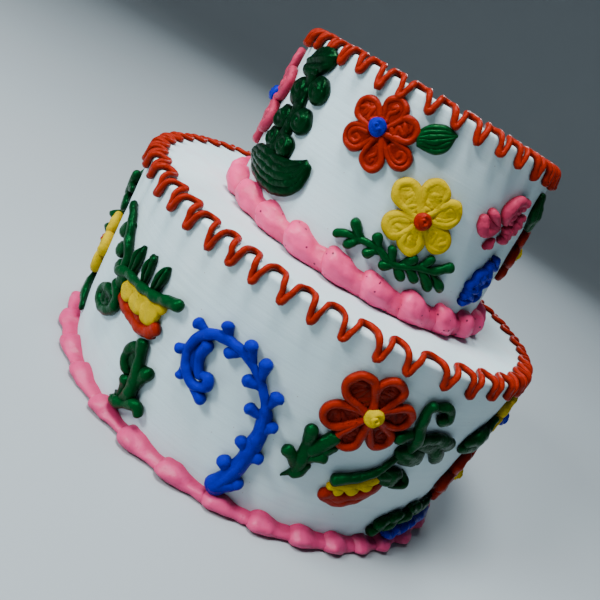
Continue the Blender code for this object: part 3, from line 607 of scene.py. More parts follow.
# The low sprig: short fat strokes of green icing, piped one over another straight on the coat, from a
# tall pair at the top down to a flat foot just above the shells.
sprig = Piping(LOWER.on_wall, "low sprig", shade_lift_scale=0.6)
sprig.rope(((-61.5, 45.5, 0.9), (-64.2, 43.6, 1.05), (-67.4, 39.9), (-67.6, 35), (-65.4, 31.2),
            (-62.4, 29.6, 0.8), (-59.9, 30.3, 0.3)), 6.2, 4.6)
sprig.rope(((-50.6, 37.8, 1.1), (-52.8, 33), (-53.5, 26.5, 0.8)), 6.4, 5.0)
sprig.rope(((-61.5, 47.8), (-59.9, 43.5, 0.95), (-58.2, 38.7), (-56.2, 33.2, 1.1), (-54.8, 27.2, 1.15),
            (-54.6, 21.5, 1.1), (-56.5, 17, 0.9)), 6.8, 5.2, 0.3)
sprig.mound(-62.0, 38.5, 14, 8.5, 3.3, 1.45, fullness=5)
sprig.mound(-54.5, 31, 18, 8, 4.0, 1.4)
sprig.rope(((-60.9, 24.8, 1.15), (-60.2, 20.6, 0.9), (-59.6, 15.5, 0.8)), 6.4, 4.6)
sprig.rope(((-65.2, 11.6, 0.3), (-62.6, 12.0, 0.9), (-59, 12.8), (-54.6, 15.1), (-50, 18.6, 1.05),
            (-46.8, 19.8, 1.05), (-44.4, 17.4, 0.95)), 6.2, lift=0.9)
sprig.rope(((-64.6, 14.8, 0.3), (-61.5, 14.4, 0.9), (-57, 15.5, 0.8)), 4.0, 4.2)
sprig.lay("lower_left_sprig", green_icing)


# The blue ferns: a curled stem with round-tipped fingers along both sides, each dragged in to the stem
# and down along it towards its foot, before the stem was trailed over them.
blue_icing = icing_finish("blue_icing", bright=(0.0004, 0.0060, 0.320, 1), deep=(0.0002, 0.0015, 0.10, 1),
                          gloss=0.26)


def fern(work, stem, width, tips, foot, lean, neck=0.70):
    """Fingers from their tips of x, y and size in to the stem, then lean mm along it towards its foot.

    A tip may hold a fourth number, which is its own lean.
    """
    spine = [Vector(spot[:2]) for spot in flow([point[:2] for point in stem], 1.0)]
    goal = min(range(len(spine)), key=lambda spot: (spine[spot] - Vector(foot)).length)
    for index, (x, y, size, *drawn) in enumerate(tips):
        tip = Vector((x, y))
        way = drawn[0] if drawn else lean
        nearest = min(range(len(spine)), key=lambda spot: (spine[spot] - tip).length)
        root = nearest
        travelled = 0
        while root != goal and travelled < way:
            ahead = 1 if goal > nearest else -1
            travelled += (spine[root + ahead] - spine[root]).length
            root += ahead
        side = tip - spine[nearest]
        waist = spine[(nearest + root) // 2] + side * 0.34
        work.rope(((x, y, 1.1), (*tip.lerp(waist, 0.45), neck * 1.22), (*waist, neck), (*spine[root], 0.5)),
                  size * 0.92, size * 0.8, 0.2 * (index % 3))
    work.rope(stem, width, lift=0.6)


BLUE_STEM = ((7.2, 11.5, 1.5), (9.5, 17, 1.35), (11.8, 26.4, 1.25), (12.9, 36.3, 1.2), (12.3, 44.7, 1.15),
             (11.2, 52.6), (9.2, 59.9), (5.6, 65.7, 0.9), (1.3, 70.7, 0.85), (-4.5, 75.5, 0.85),
             (-10.5, 79, 0.9), (-17.1, 80.9), (-23.8, 81), (-30.4, 79, 1.1), (-35.6, 73.2, 1.1),
             (-37.8, 66.2, 1.1), (-36.4, 59.2), (-32.7, 53.8), (-28, 51.2), (-23.6, 51.6, 1.1),
             (-20.8, 54.9, 1.2), (-22.2, 58.6, 1.2), (-24.8, 58.2, 0.9))
BLUE_TIPS = ((15.8, 18.9, 7), (17.4, 37, 6.8), (15.0, 55.3, 6.6), (9.6, 70.0, 7), (-2.5, 81.5, 7),
             (-12.3, 85.5, 6.8), (-26.4, 86.3, 6.6, 2), (-39.0, 78, 6.2, 3), (-42, 61.3, 6, 3),
             (-35, 50.8, 5.8), (-20.4, 47.0, 6), (4.9, 26.0, 7), (6.6, 40.3, 6.4), (1.9, 57.9, 6.4),
             (-5.6, 70, 6.6), (-19.7, 76.0, 6.2))
fern_work = Piping(LOWER.on_wall, "blue fern")
fern_work.rope(((-30.2, 71.6, 1.05), (-31, 66, 0.9), (-29.4, 60.5, 0.8), (-26.5, 56.5, 0.8)), 6.2)
fern_work.mound(-33.5, 62, 24, 9, 2.4, 1.5)
fern_work.rope(BLUE_STEM[:7], 7.6, 4.4)
fern(fern_work, BLUE_STEM, 5.0, BLUE_TIPS, BLUE_STEM[0][:2], 7.5)
fern_work.rope(((15, 17, 0.9), (9, 12.5, 1.1), (5, 10.5)), 6.8, lift=0.5)
fern_work.lay("lower_blue_fern", blue_icing)


# The orange flower: each petal is one rope of icing looped out from the heart and back, over a thin scribbled
# fill that stays dark between the strands. Petals overlap in turn, and a yellow heart is dropped on last.
def petal_place(turn, far, aside):
    angle = math.radians(turn)
    return far * math.cos(angle) - aside * math.sin(angle), far * math.sin(angle) + aside * math.cos(angle)


def outline(reach, half):
    """A teardrop loop from the heart out and back, as distances along and across its petal."""
    bow = [(reach + half * math.cos(math.radians(turn)), half * math.sin(math.radians(turn)))
           for turn in (-100, -60, -20, 20, 60, 100)]
    return [(1.5, -1.0), (reach * 0.5, -half * 0.62)] + bow + [(reach * 0.5, half * 0.62), (1.5, 1.0)]


def scribble(reach, half):
    """A zigzag that fills a petal from near its heart outwards."""
    stops = []
    for step in range(7):
        far = reach * (0.42 + 0.10 * step) + half * (0.09 * step + 0.16 * math.sin(4.7 * step))
        aside = half * (0.50 + 0.16 * math.sin(2.3 * step + reach)) * math.sin(math.pi * (0.2 + 0.11 * step))
        stops.append((far, aside * (-1) ** step))
    return stops


def piped_petals(work, petals, rope, fill, inner, kinds, proud, broad):
    """Petals of turn, reach and size: each a loop of rope round a fill and an inner stroke of a kind."""
    for index, (turn, reach, size) in enumerate(petals):
        half = (size - rope[0]) / 2
        work.mound(*petal_place(turn, reach * 0.92, 0), size * (broad + 0.19), size * broad, fill * proud,
                   math.radians(turn), fullness=6)
        kind = kinds[index % len(kinds)]
        work.rope([petal_place(turn, *place) for place in kind(reach, half)], inner[0], inner[1] * proud)
        work.rope([petal_place(turn, *place) for place in outline(reach, half)], rope[0], rope[1] * proud,
                  0.35 * (index % 2))


def looped_flower(work, petals, proud=1.0):
    piped_petals(work, petals, (4.4, 3.9), 1.8, (4.0, 2.2), (scribble,), proud, 0.8)
    work.mound(0, 0, 9, 9, 2.2, fullness=4)


def heart_drop(work, size, height, lift, x=0.0, y=0.0):
    """A drop of icing for a flower's heart, with a small swirl where the tube was pulled away."""
    work.mound(x, y, size, size, height, lift=lift, fullness=2.2,
               relief=lambda u, v: 0.4 * math.sin(2.0 * math.atan2(v, u) + 7 * math.hypot(u, v)))
    work.rope(((x + 1.5, y - 0.4, 0.8), (x, y - 1.3, 0.9), (x - 1.3, y + 0.2, 0.9), (x, y + 1.1, 0.8),
               (x + 0.3, y, 0.6)), size * 0.26, lift=lift + height * 0.74, spacing=0.4)


flower = Piping(LOWER.on_wall, "orange flower", 51.8, 84)
looped_flower(flower, ((86, 14.6, 17.0), (17, 14.2, 16.5), (-40, 15.6, 14.8), (-100, 16.4, 14.8),
                       (-153, 16.2, 17.0), (141, 16.6, 17.8)))
flower.lay("lower_orange_flower", orange_red_icing)
heart = Piping(LOWER.on_wall, "orange flower heart", 52.3, 84.2)
heart_drop(heart, 9.8, 4.0, 3.0)
heart.lay("lower_orange_flower_heart", yellow_icing)


# The middle sprig: plump strokes of green icing that tuck under the orange flower and run together down
# to a thin point, where the tube was pulled away.
sprig = Piping(LOWER.on_wall, "middle sprig", shade_lift_scale=0.7)
for stroke, width in (
        (((42.6, 64.4), (40.2, 59.3, 1.15), (36.8, 54), (35.3, 48, 0.7)), 8.2),
        (((45.5, 60.0, 0.9), (42, 56.5), (38, 51, 0.7)), 6.4),
        (((43.2, 53.4, 1.15), (39.4, 50.4), (36.8, 45.5, 0.7)), 6.0),
        (((27.6, 48.3, 1.1), (30.5, 46.6, 0.95), (34, 42.5, 0.8)), 6.2),
        (((31.5, 63.6, 1.1), (32.7, 60.0), (34.4, 53.3, 0.95), (35.8, 46, 1.05), (36.6, 40.5, 0.9),
          (34.8, 37, 0.6), (32.6, 32.9, 0.2)), 7.0),
        (((40, 44.6, 0.8), (38.6, 41.0), (36.6, 37.8, 0.9)), 6.2)):
    sprig.rope(stroke, width, 5.0)
sprig.mound(38.5, 52, 18, 11, 4.0, 1.1)
sprig.lay("lower_middle_sprig", green_icing)


# The climbing vines: a green stem piped up to a curl, with fat lobed leaves on its outer side. The front
# one runs out over a short yellow wave and the orange band below it, which were piped before it.
def climbing_vine(work):
    work.mound(87.2, 68.6, 19.5, 14, 5.2, -0.12, fullness=3,
               relief=lambda u, v: 0.4 * math.sin(8 * v + 2 * u))
    work.mound(85.4, 52.8, 16.5, 12.5, 4.4, 0.1, fullness=4,
               relief=lambda u, v: 0.3 * math.sin(8 * v - 2 * u))
    for stroke, width, height in (
            (((86, 78.5), (92, 80.5, 0.95), (100, 81.4, 0.95), (109.0, 78.6, 1.15)), 8.2, 5.0),
            (((88, 77), (97, 76.2), (103, 73.4, 1.05), (107.6, 69.4, 1.1)), 9.0, 4.6),
            (((82, 70, 0.8), (88, 69.8), (94, 66.4, 0.9)), 5.4, 4.8),
            (((80, 56, 0.7), (85.5, 55), (88.5, 50.0)), 6.0, 4.8),
            (((90, 47.8, 0.9), (94.4, 48.6, 1.1), (97, 51.4, 1.1), (95.4, 54.6, 0.8), (91.8, 57.4, 0.3)),
             4.8, 4.6),
            (((72.6, 77.6, 1.15), (76, 79.8), (81.8, 81.4, 0.8)), 6.2, 4.8)):
        work.rope(stroke, width, height)
    work.mound(97, 76.8, 22, 11, 4.0, -0.1, fullness=4)
    work.rope(((56.5, 43.6, 1.08), (63.1, 46.9), (70.9, 50.7, 0.9), (75.7, 54.8, 0.72), (78.4, 60, 0.62),
               (80.4, 66.3, 0.62), (82.8, 72.2, 0.8), (83.2, 78), (79.9, 84.8), (77.4, 92.2, 0.98),
               (76.6, 97.6, 0.95), (77.4, 99.8)), 6.0, lift=0.7)
    work.rope(((78.4, 98.6, 0.9), (82.3, 100.4, 0.9), (86, 101.4), (90, 99), (91.6, 95.0, 1.1),
               (88.6, 93.8, 1.25)), 5.6, lift=0.3)


vine = Piping(LOWER.on_wall, "right vine", shade_lift_scale=0.6)
climbing_vine(vine)
vine.lay("lower_right_vine", green_icing)

wave = Piping(LOWER.on_wall, "yellow wave")
wave.rope(((58.5, 39.5), (65, 40.8), (72, 43.5), (79, 49)), 6.5, 3.6)
for x, y in ((62.3, 37.2), (69.4, 39.8), (75.8, 44)):
    wave.mound(x, y, 7.6, 7.8, 4.2, 0.5, fullness=2.4)
wave.rope(((57.2, 38.2), (60, 38.6)), 4.2, 3.8)
wave.lay("lower_right_scallops", yellow_icing)

edging = Piping(LOWER.on_wall, "right edging")
edging.rope(((57.8, 33.0, 1.05), (64.2, 32.4, 1.05), (70.4, 35.0), (77, 38.8), (81.6, 43.4, 0.9),
             (83.4, 47.2, 0.6)), 8.2, 3.8)
edging.rope(((58.5, 31), (66, 30), (74, 33.6), (81, 39.6, 0.8)), 6.2, 3.9)
edging.lay("lower_right_band", orange_red_icing)


# The sides of the lower tier: a yellow flower with green leaves on the left, and a yellow and a looped
# orange flower on the right, over low leaves that lie along a blue stroke just above the shells.
def curl(reach, half):
    """A stroke that winds once inside a petal and ends in its middle."""
    return [(reach * 0.55, -half * 0.25), (reach * 0.85, -half * 0.52), (reach + half * 0.30, -half * 0.42),
            (reach + half * 0.48, half * 0.10), (reach + half * 0.10, half * 0.50),
            (reach - half * 0.35, half * 0.35), (reach - half * 0.15, -half * 0.05)]


def filled_flower(work, petals, proud):
    piped_petals(work, petals, (5.2, 3.7), 3.5, (4.6, 3.8), (scribble, curl, scribble), proud, 0.9)
    work.mound(0, 0, 13, 13, 3.4 * proud, fullness=5)


def even_petals(first, reach, size):
    """Six petals a sixth of a turn apart, as turn, reach of the middle and size."""
    draw = random.Random(first + reach)
    return [(first + 60 * index, reach, size * (1 + draw.uniform(-0.04, 0.04))) for index in range(6)]


HEART_SIZE = 9.2
HEART_RISE = 0.42
HEART_LIFT = 2.9


def flower_and_heart(node, tier, place, pattern, petals, finish, heart_finish, heart_size=HEART_SIZE,
                     heart=(0.0, 0.0), proud=1.0):
    """One flower of a pattern and its heart, at a place on a tier's wall."""
    bloom = Piping(tier.on_wall, node, *place)
    pattern(bloom, petals, proud)
    bloom.lay(node, finish)
    middle = Piping(tier.on_wall, node + " heart", *place)
    heart_drop(middle, heart_size, heart_size * HEART_RISE, HEART_LIFT * proud, *heart)
    middle.lay(node + "_heart", heart_finish)


def leafy(node, tier, strokes, finish=green_icing, across=0.0):
    """Strokes of points, width and height laid on a wall as one piece."""
    work = Piping(tier.on_wall, node, across)
    for points, width, height in strokes:
        work.rope(points, width, height)
    work.lay(node, finish)


def squiggle(points, half, step):
    """A stroke that goes from side to side of a curve through points, with a turn every step."""
    path = flow(points, step)
    turns = []
    for index, (x, y) in enumerate(path):
        before = path[max(index - 1, 0)]
        after = path[min(index + 1, len(path) - 1)]
        across = Vector((before[1] - after[1], after[0] - before[0])).normalized() * half * (-1) ** index
        turns.append((x + across.x, y + across.y))
    return turns


flower_and_heart("lower_left_flower", LOWER, (-175.5, 47.5), filled_flower, even_petals(12, 14, 16.5),
                 yellow_icing, orange_red_icing, 6.8, proud=1.4)
flower_and_heart("lower_right_yellow_flower", LOWER, (171, 89), filled_flower, even_petals(12, 10.5, 12.5),
                 yellow_icing, blue_icing, proud=1.2)
flower_and_heart("lower_right_red_flower", LOWER, (170.5, 44), looped_flower, even_petals(12, 14.5, 16.5),
                 orange_red_icing, yellow_icing, proud=1.45)
leafy("lower_left_leaves", LOWER, (
    (((-178, 78), (-168, 84), (-160, 98)), 5.6, 4.8),
    (((-155, 80, 0.9), (-161, 82, 1.1), (-170, 84, 0.8)), 8.0, 3.8),
    (((-157, 90, 0.8), (-161, 90), (-167, 88, 0.8)), 6.4, 3.8),
    (((-190, 94, 0.8), (-184, 88, 1.1), (-176, 80, 0.8)), 8.4, 4.8),
    (((-177, 75, 0.4), (-182, 67, 0.5), (-185, 61, 1.1), (-186, 56, 0.75), (-187, 50, 1.15), (-185, 44, 0.5)),
     6.4, 9.6)))
leafy("lower_left_low_leaf", LOWER, (
    (((-166, 26, 0.8), (-155, 21, 1.1), (-141, 16, 0.7)), 7.4, 4.2), (((-164, 23), (-150, 17.5)), 5, 4.2)))
leafy("lower_right_leaves", LOWER, (
    (((152, 92, 0.8), (148, 84), (150, 70, 0.8)), 5.4, 5.0),
    (((131, 78.5, 0.9), (139, 82, 1.2), (151, 86, 0.8)), 9.0, 5.4),
    (((130, 74.5, 0.9), (140, 76, 1.2), (150, 79, 0.8)), 8.4, 4.8)))
leafy("lower_right_low_leaves", LOWER, (
    (((103.6, 12.6, 1.1), (107.4, 15.2), (112, 18, 0.8)), 6.0, 4.8),
    (((105.6, 17.8, 1.1), (109.6, 20.2), (114, 20, 0.8)), 6.4, 5.0),
    (((112, 15.4), (116, 18.2, 1.1), (121, 21, 0.8)), 6.4, 4.8),
    (((113.6, 22.2, 1.1), (118, 23.6), (124, 23, 0.8)), 6.2, 5.2),
    (((122, 20), (127, 22.5, 1.1), (133, 24, 0.8)), 6.6, 5.2),
    (((128, 27.4), (134, 27.4, 1.1), (140, 25, 0.8)), 5.6, 5.0),
    (((136, 23), (147, 25.5, 1.1), (158, 26, 0.7)), 6.4, 4.6)))
leafy("lower_right_blue_base", LOWER, (
    (squiggle(((116.5, 10.6), (123, 12.4), (131, 13.6), (139, 14.6)), 1.4, 3.4), 5.0, 7.4),
    (((137, 14.6), (150, 15), (164, 16, 0.8)), 6.0, 7.4)), blue_icing)


# The back of the lower tier, which carries on the same pattern: a mirrored fern, a looped orange flower
# over a sprig, a mirrored climbing vine, a yellow flower and a hanging spray of leaves.
fern_work = Piping(LOWER.on_wall, "back fern", 229, 0, -1)
fern(fern_work, BLUE_STEM, 5.0, BLUE_TIPS, BLUE_STEM[0][:2], 7.5)
fern_work.lay("lower_back_fern", blue_icing)
flower_and_heart("lower_back_flower", LOWER, (318, 82), looped_flower, even_petals(30, 14.5, 16.5),
                 orange_red_icing, yellow_icing)
leafy("lower_back_sprig", LOWER, (
    (((0, 55), (-3, 42), (2, 26, 0.5)), 6.4, 4.8), (((-15, 55, 1.1), (-9, 53), (-2, 47, 0.6)), 7.2, 4.6),
    (((13, 52, 1.1), (6, 50), (-2, 45, 0.6)), 7.2, 4.6), (((-16, 40, 1.1), (-9, 40), (-1, 36, 0.6)), 7, 4.6),
    (((14, 38, 1.1), (7, 36), (0, 32, 0.6)), 7, 4.6)), green_icing, 318)
vine = Piping(LOWER.on_wall, "back vine", -300, 0, -1)
climbing_vine(vine)
vine.lay("lower_back_vine", green_icing)
flower_and_heart("lower_back_yellow_flower", LOWER, (-300, 78), filled_flower, even_petals(0, 14, 16.5),
                 yellow_icing, orange_red_icing)
leafy("lower_back_leaves", LOWER, (
    (((28, 93), (34, 74), (28, 56), (36, 36), (30, 19, 0.6)), 6, 4.8),
    (((48, 92, 1.1), (41, 87), (32, 78, 0.6)), 8.4, 4.6),
    (((13, 74, 1.1), (21, 69), (31, 61, 0.6)), 8.4, 4.6),
    (((14, 44, 1.1), (22, 49), (30, 57, 0.6)), 8.4, 4.6),
    (((18, 24, 1.1), (25, 28), (34, 35, 0.6)), 8, 4.6)), green_icing, -268)


# The leafy column of the upper tier: round lobes with a swirl on each side of a green stem, a broad leaf
# on top and a crescent leaf below, ribbed by strokes laid side by side.
def coil(depth, start):
    """Relief for a blob that was wound down on itself: a shallow spiral groove."""
    return lambda u, v: depth * math.sin(2 * math.pi * 1.6 * math.hypot(u, v) - math.atan2(v, u) + start)


# The low shade lift scale paints the whole column darker, as shade on its side turned away from the light.
vine = Piping(UPPER.on_wall, "leaf column", shade_lift_scale=0.3)
vine.rope(((-67.8, 199), (-69, 190.9), (-68, 184.8), (-67.1, 178.6), (-67.5, 171.8), (-67.3, 166.2),
           (-70, 157), (-74, 151)), 8.5, 3.8)
vine.mound(-68.6, 204.2, 26, 14.5, 4.8, 0.56, fullness=4, relief=lambda u, v: 0.55 * math.sin(9 * v + 3 * u))
vine.rope(((-78, 198.2, 0.8), (-72.5, 197.6), (-66, 199.5, 0.9)), 6.4, 4.8, lift=0.3)
for x, y, length, width, rise in ((-57.8, 192.4, 13.5, 15, 5.4), (-58.6, 175.4, 13.5, 14.5, 5.2),
                                  (-61.8, 159.8, 13.5, 13, 5.2)):
    vine.mound(x, y, length, width, rise, 0.4, fullness=2.6, relief=coil(0.55, x))
for x, y, length, width in ((-73.6, 187.0, 14, 15.5), (-75.6, 171.0, 14, 15), (-74.5, 159.5, 13, 13)):
    vine.mound(x, y, length, width, 4.9, -0.4, fullness=2.8, relief=coil(0.5, x))
top_edge = flow(((-88.5, 148), (-84, 151.5), (-75, 153.5), (-64, 154.2), (-52.5, 155.8), (-43, 160.2)), 1.0)
low_edge = flow(((-90.5, 144.5), (-84, 141.6), (-73, 138.6), (-61.5, 137.6), (-52, 138.4), (-43, 142.6),
                 (-38.8, 150.5), (-39.4, 159)), 1.0)
for share, above in ((0.93, 0.2), (0.73, 0.7), (0.53, 1.1), (0.33, 1.0), (0.13, 0.4)):
    strand = []
    for step in range(12):
        high = top_edge[round(step / 11 * (len(top_edge) - 1))]
        low = low_edge[round(step / 11 * (len(low_edge) - 1))]
        strand.append((high[0] + (low[0] - high[0]) * share, high[1] + (low[1] - high[1]) * share,
                       0.72 + 0.38 * math.sin(math.pi * step / 11)))
    vine.rope(strand, 5.4, 3.9, lift=above * 0.8 + 0.4)
vine.lay("upper_leaf_vine", green_icing)


# The red flower of the upper tier: ropes of icing wound in on themselves inside each petal's outline, and a
# single blue drop for its heart. The ribbed green leaf beside it is made of strokes that meet at its point.
def button(reach, half):
    """A stroke that goes back over itself in a petal's middle."""
    return [(reach * 0.45, half * 0.2), (reach * 0.75, half * 0.3), (reach, -half * 0.25),
            (reach + half * 0.3, half * 0.1), (reach, half * 0.2)]


def swirled_flower(work, petals, proud):
    piped_petals(work, petals, (3.6, 3.5), 2.9, (3.2, 3.6), (button, scribble, curl, button, curl, scribble),
                 proud, 0.86)
    work.mound(0, 0, 12, 12, 2.6, fullness=5)


flower_and_heart("upper_red_flower", UPPER, (-14.8, 192.2), swirled_flower, (
    (88, 12.3, 13.6), (38, 12.0, 13.4), (-21, 13.8, 13.0), (-83, 12.6, 12.8), (-145, 13.2, 13.8),
    (154, 12.6, 14.2)), orange_red_icing, blue_icing, 9.0, (-2.6, 1.6))
leaf = Piping(UPPER.on_wall, "front leaf")
for bend, above in ((-4.9, 0.1), (-3.0, 0.5), (-1.1, 0.8), (0.8, 0.8), (2.6, 0.5), (4.2, 0.1)):
    leaf.rope(((1.6 - bend * 0.25, 199 + bend * 0.45, 0.8), (6.4 - bend * 0.72, 202 + bend * 0.86, 1.05),
               (11.4 - bend * 0.62, 205.4 + bend * 0.78, 1.0), (16.2, 209.0, 0.5)), 3.1, 3.9, lift=above)
leaf.lay("upper_front_leaf", green_icing)
flower_and_heart("upper_yellow_flower", UPPER, (21.8, 167.8), filled_flower, (
    (92, 14.0, 15.4), (41, 13.8, 14.6), (-20, 13.6, 14.6), (-88, 11.6, 14.0), (-140, 13.0, 14.0),
    (150, 14.6, 15.4)), yellow_icing, orange_red_icing, 9.0)


# The front spray and the rose flower of the upper tier: short green fingers piped out both ways from the
# middle of a curved stem, a rose flower in loose strokes, and a cluster of blue lumps over the border.
spray = Piping(UPPER.on_wall, "front spray")
fern(spray, ((-10.8, 141.4, 1.2), (-6, 143.6), (-1, 144.5), (4.9, 145.5), (10.5, 145.2), (16.2, 143.4),
             (22.1, 142.8), (27.2, 145.4), (32.9, 147.2), (40.2, 148.9), (45.5, 151.8, 1.2)), 4.0, (
    (-5.0, 150.2, 5.6), (7.2, 150.2, 5.2), (16.6, 148.6, 5.0), (28.2, 149.8, 5.0), (36.6, 153.4, 5.2),
    (48.2, 153.8, 5.4), (-3.2, 139.6, 5.4), (6.6, 140.8, 5.4), (16.2, 139.8, 5.2), (26.6, 138.8, 5.2),
    (33.2, 141.2, 5.2), (42.4, 140.4, 5.4), (49.4, 142.6, 5.4)), (21, 143), 6.5, 0.84)
spray.lay("upper_front_fern", green_icing)
rose_icing = icing_finish("rose_icing", bright=(0.50, 0.040, 0.098, 1), deep=(0.19, 0.009, 0.022, 1),
                          gloss=0.30)
leafy("upper_rose_flower", UPPER, (
    (((75.2, 199.2), (69.0, 198.6, 1.05), (64.8, 195.2, 1.2), (64.6, 190.4, 1.15), (67.6, 186.2, 0.8)),
     5.6, 4.8),
    (squiggle(((74, 197.5), (69, 193), (69.5, 187)), 1.8, 2.2), 4.2, 4.2),
    (squiggle(((78.4, 192.0), (77.6, 186.4), (74.4, 181)), 1.6, 2.0), 4.4, 4.8),
    (((55.2, 187.2), (58.6, 186.0), (64, 182.6, 0.7)), 5.4, 4.6),
    (((51.8, 182.6), (53.5, 179.2, 1.1), (57, 177.4, 1.1), (64.8, 181.2, 0.6)), 5.8, 4.8),
    (((55.5, 182.4), (59, 181.6), (63, 182)), 5, 3.6),
    (((63.8, 170.6, 0.6), (65.2, 172.8), (66.4, 175.0, 0.7)), 5.6, 4.2),
    (squiggle(((73.2, 176.4), (75.0, 180.4), (72.6, 184)), 1.4, 1.8), 4.4, 4.4)), rose_icing)
leafy("upper_blue_vine", UPPER, (
    (((73.6, 141.6), (73.0, 147), (75.6, 155.6), (80.6, 163.5, 0.8)), 6.8, 4.4),
    (squiggle(((72.2, 140), (71.6, 146), (73.4, 152), (76.6, 158), (80.8, 166)), 2.5, 2.6), 4.4, 5.0),
    (squiggle(((70, 143), (69.2, 149), (72, 156), (77.5, 163)), 1.2, 4.3), 4.0, 4.6),
    (squiggle(((78.5, 143), (79, 150), (82, 157)), 1.8, 3.2), 4.4, 4.8)), blue_icing)


# The sides and back of the upper tier: a rose flower on the left, a leaf over an orange flower on the
# right, and behind them more flowers, a leafy vine, a green spray and a blue one in the same hand.
flower_and_heart("upper_left_flower", UPPER, (-118.2, 175.6), swirled_flower, even_petals(28, 20, 20.5),
                 rose_icing, blue_icing, proud=1.25)
flower_and_heart("upper_right_flower", UPPER, (125, 171), looped_flower, even_petals(8, 12.5, 14),
                 orange_red_icing, yellow_icing, proud=1.2)
leafy("upper_right_leaf", UPPER, (
    (((106.5, 188, 0.8), (100, 196, 1.1), (94.0, 206, 0.5)), 6.4, 5.0),
    (((110, 192, 0.7), (105, 199), (97, 207, 0.5)), 5, 4.4),
    (((103, 188, 0.7), (95.4, 196), (93.0, 205, 0.5)), 5, 4.2)))
flower_and_heart("upper_back_yellow_flower", UPPER, (178, 186), filled_flower, even_petals(20, 12.6, 14.5),
                 yellow_icing, orange_red_icing)
flower_and_heart("upper_back_red_flower", UPPER, (229, 170), looped_flower, even_petals(20, 12, 13.5),
                 orange_red_icing, blue_icing)
flower_and_heart("upper_back_rose_flower", UPPER, (-180, 184), swirled_flower, even_petals(20, 13, 14.5),
                 rose_icing, yellow_icing)
leafy("upper_back_leaf_vine", UPPER, (
    (((3, 207), (-4, 190), (3, 173), (-3, 150)), 6.4, 4.8),
    (((17, 205, 1.1), (10, 202), (0, 195, 0.6)), 8.6, 4.6),
    (((-18, 194, 1.1), (-11, 191), (-2, 184, 0.6)), 8.6, 4.6),
    (((17, 184, 1.1), (10, 183), (0, 177, 0.6)), 8.6, 4.6),
    (((-16, 172, 1.1), (-9, 171), (1, 166, 0.6)), 8.6, 4.6),
    (((17, 162, 1.1), (10, 161), (-1, 156, 0.6)), 8.6, 4.6)),
    green_icing, -225)


def paired_tips(points, spacing, size, reach):
    """Finger tips on both sides of a curve through points, evenly spaced along it, as x, y and size."""
    tips = []
    travelled = spacing / 2
    path = flow(points, 1.0)
    for start, end in zip(path, path[1:]):
        step = Vector(end) - Vector(start)
        travelled += step.length
        if travelled >= spacing:
            travelled -= spacing
            across = Vector((-step.y, step.x)).normalized() * reach
            tips += [(end[0] + across.x * way, end[1] + across.y * way, size) for way in (1, -1)]
    return tips


for node, finish, points, width, spacing, size, reach, foot, across in (
        ("upper_back_fern", green_icing, ((-30, 144), (-15, 147), (0, 145), (15, 147), (30, 151)), 3.8, 10,
         5.4, 5.4, (0, 145), 180),
        ("upper_back_blue_vine", blue_icing, ((22, 142), (14, 150), (2, 153), (-12, 148), (-20, 141)), 5.4,
         10, 6.6, 5.6, (22, 142), -180)):
    work = Piping(UPPER.on_wall, node, across)
    fern(work, points, width, paired_tips(points, spacing, size, reach), foot, 6.0)
    work.lay(node, finish)


# The table and the studio: a plain pale floor that rises far off into a soft wall all round, one broad
# light overhead, another from the front left, a very faint one on the right and a cool one behind.
FLOOR_SIDES = 96
FLOOR_PROFILE = ((0.02, 0), (0.4, 0), (1.2, 0), (2.2, 0), (2.8, 0.06), (3.3, 0.28), (3.7, 0.75), (3.9, 1.4),
                 (4.0, 3.2))
floor = bmesh.new()
rings = []
for radius, height in FLOOR_PROFILE:
    turns = [math.tau * step / FLOOR_SIDES for step in range(FLOOR_SIDES)]
    rings.append([floor.verts.new((radius * math.cos(turn), radius * math.sin(turn), height))
                  for turn in turns])
for inner, outer in zip(rings, rings[1:]):
    for here in range(FLOOR_SIDES):
        there = (here + 1) % FLOOR_SIDES
        floor.faces.new((inner[here], outer[here], outer[there], inner[there]))
floor.faces.new(rings[0])
floor_mesh = bpy.data.meshes.new("studio_floor")
floor.to_mesh(floor_mesh)
floor.free()
floor_mesh.shade_smooth()
material, shader, start, place = new_finish("studio_floor")
tone = start.grain(place, 3.0, 2.0)
feed(shader, "Base Color", tone.between((0.39, 0.44, 0.47, 1), (0.43, 0.47, 0.495, 1)))
set_inputs(shader, {"Roughness": 0.6})
floor_mesh.materials.append(material)
studio_floor = bpy.data.objects.new("studio_floor", floor_mesh)
bpy.context.scene.collection.objects.link(studio_floor)

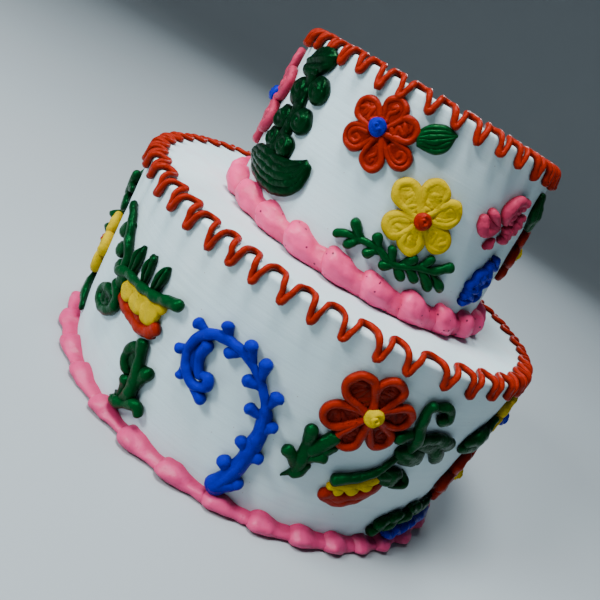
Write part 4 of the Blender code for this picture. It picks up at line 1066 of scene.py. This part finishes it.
for name, place, target, size, power, colour in (
        ("overhead", (-0.30, -0.30, 1.3), (0, 0, 0.1), 0.5, 24, (0.93, 0.985, 1.0)),
        ("front_left", (-1.0, -0.85, 0.95), (0, 0, 0.1), 0.45, 22, (0.90, 0.98, 1.0)),
        ("right", (1.5, -0.4, 0.8), (0, 0, 0.12), 0.5, 0.2, (0.75, 0.90, 1.0)),
        ("behind", (0.1, 1.6, 1.1), (0, 0, 0.15), 0.6, 12, (0.85, 0.95, 1.0))):
    lamp = bpy.data.lights.new(name, "AREA")
    lamp.shape = "DISK"
    lamp.size = size
    lamp.energy = power
    lamp.color = colour
    holder = bpy.data.objects.new(name, lamp)
    holder.location = place
    holder.rotation_euler = (Vector(target) - Vector(place)).to_track_quat("-Z", "Y").to_euler()
    bpy.context.scene.collection.objects.link(holder)

world = bpy.data.worlds.new("studio_air")
world.use_nodes = True
set_inputs(world.node_tree.nodes["Background"], {"Color": (0.66, 0.82, 1.0, 1), "Strength": 0.075})
bpy.context.scene.world = world


# The camera: held close in front of the cake at about the height of its top, looking a little down and
# rolled well over, so that the cake leans to the right in the picture.
CAMERA_BACK = 0.4102
CAMERA_HEIGHT = 0.2094
CAMERA_YAW = math.radians(-1.1079)
CAMERA_PITCH = math.radians(18.4376)
CAMERA_ROLL = math.radians(32.1204)
FOCAL_PIXELS = 668.8756
PICTURE_PIXELS = 600
SENSOR_WIDTH = 36.0
ahead = Vector((math.sin(CAMERA_YAW) * math.cos(CAMERA_PITCH), math.cos(CAMERA_YAW) * math.cos(CAMERA_PITCH),
                -math.sin(CAMERA_PITCH)))
right = ahead.cross(Vector((0, 0, 1))).normalized()
above = right.cross(ahead)
rolled_right = right * math.cos(CAMERA_ROLL) + above * math.sin(CAMERA_ROLL)
rolled_above = above * math.cos(CAMERA_ROLL) - right * math.sin(CAMERA_ROLL)
camera = bpy.data.cameras.new("camera")
camera.sensor_width = SENSOR_WIDTH
camera.lens = FOCAL_PIXELS / PICTURE_PIXELS * SENSOR_WIDTH
camera.clip_start = 0.01
viewer = bpy.data.objects.new("camera", camera)
stance = Matrix((rolled_right, rolled_above, -ahead)).transposed().to_4x4()
stance.translation = Vector((0, -CAMERA_BACK, CAMERA_HEIGHT))
viewer.matrix_world = stance
bpy.context.scene.collection.objects.link(viewer)
bpy.context.scene.camera = viewer
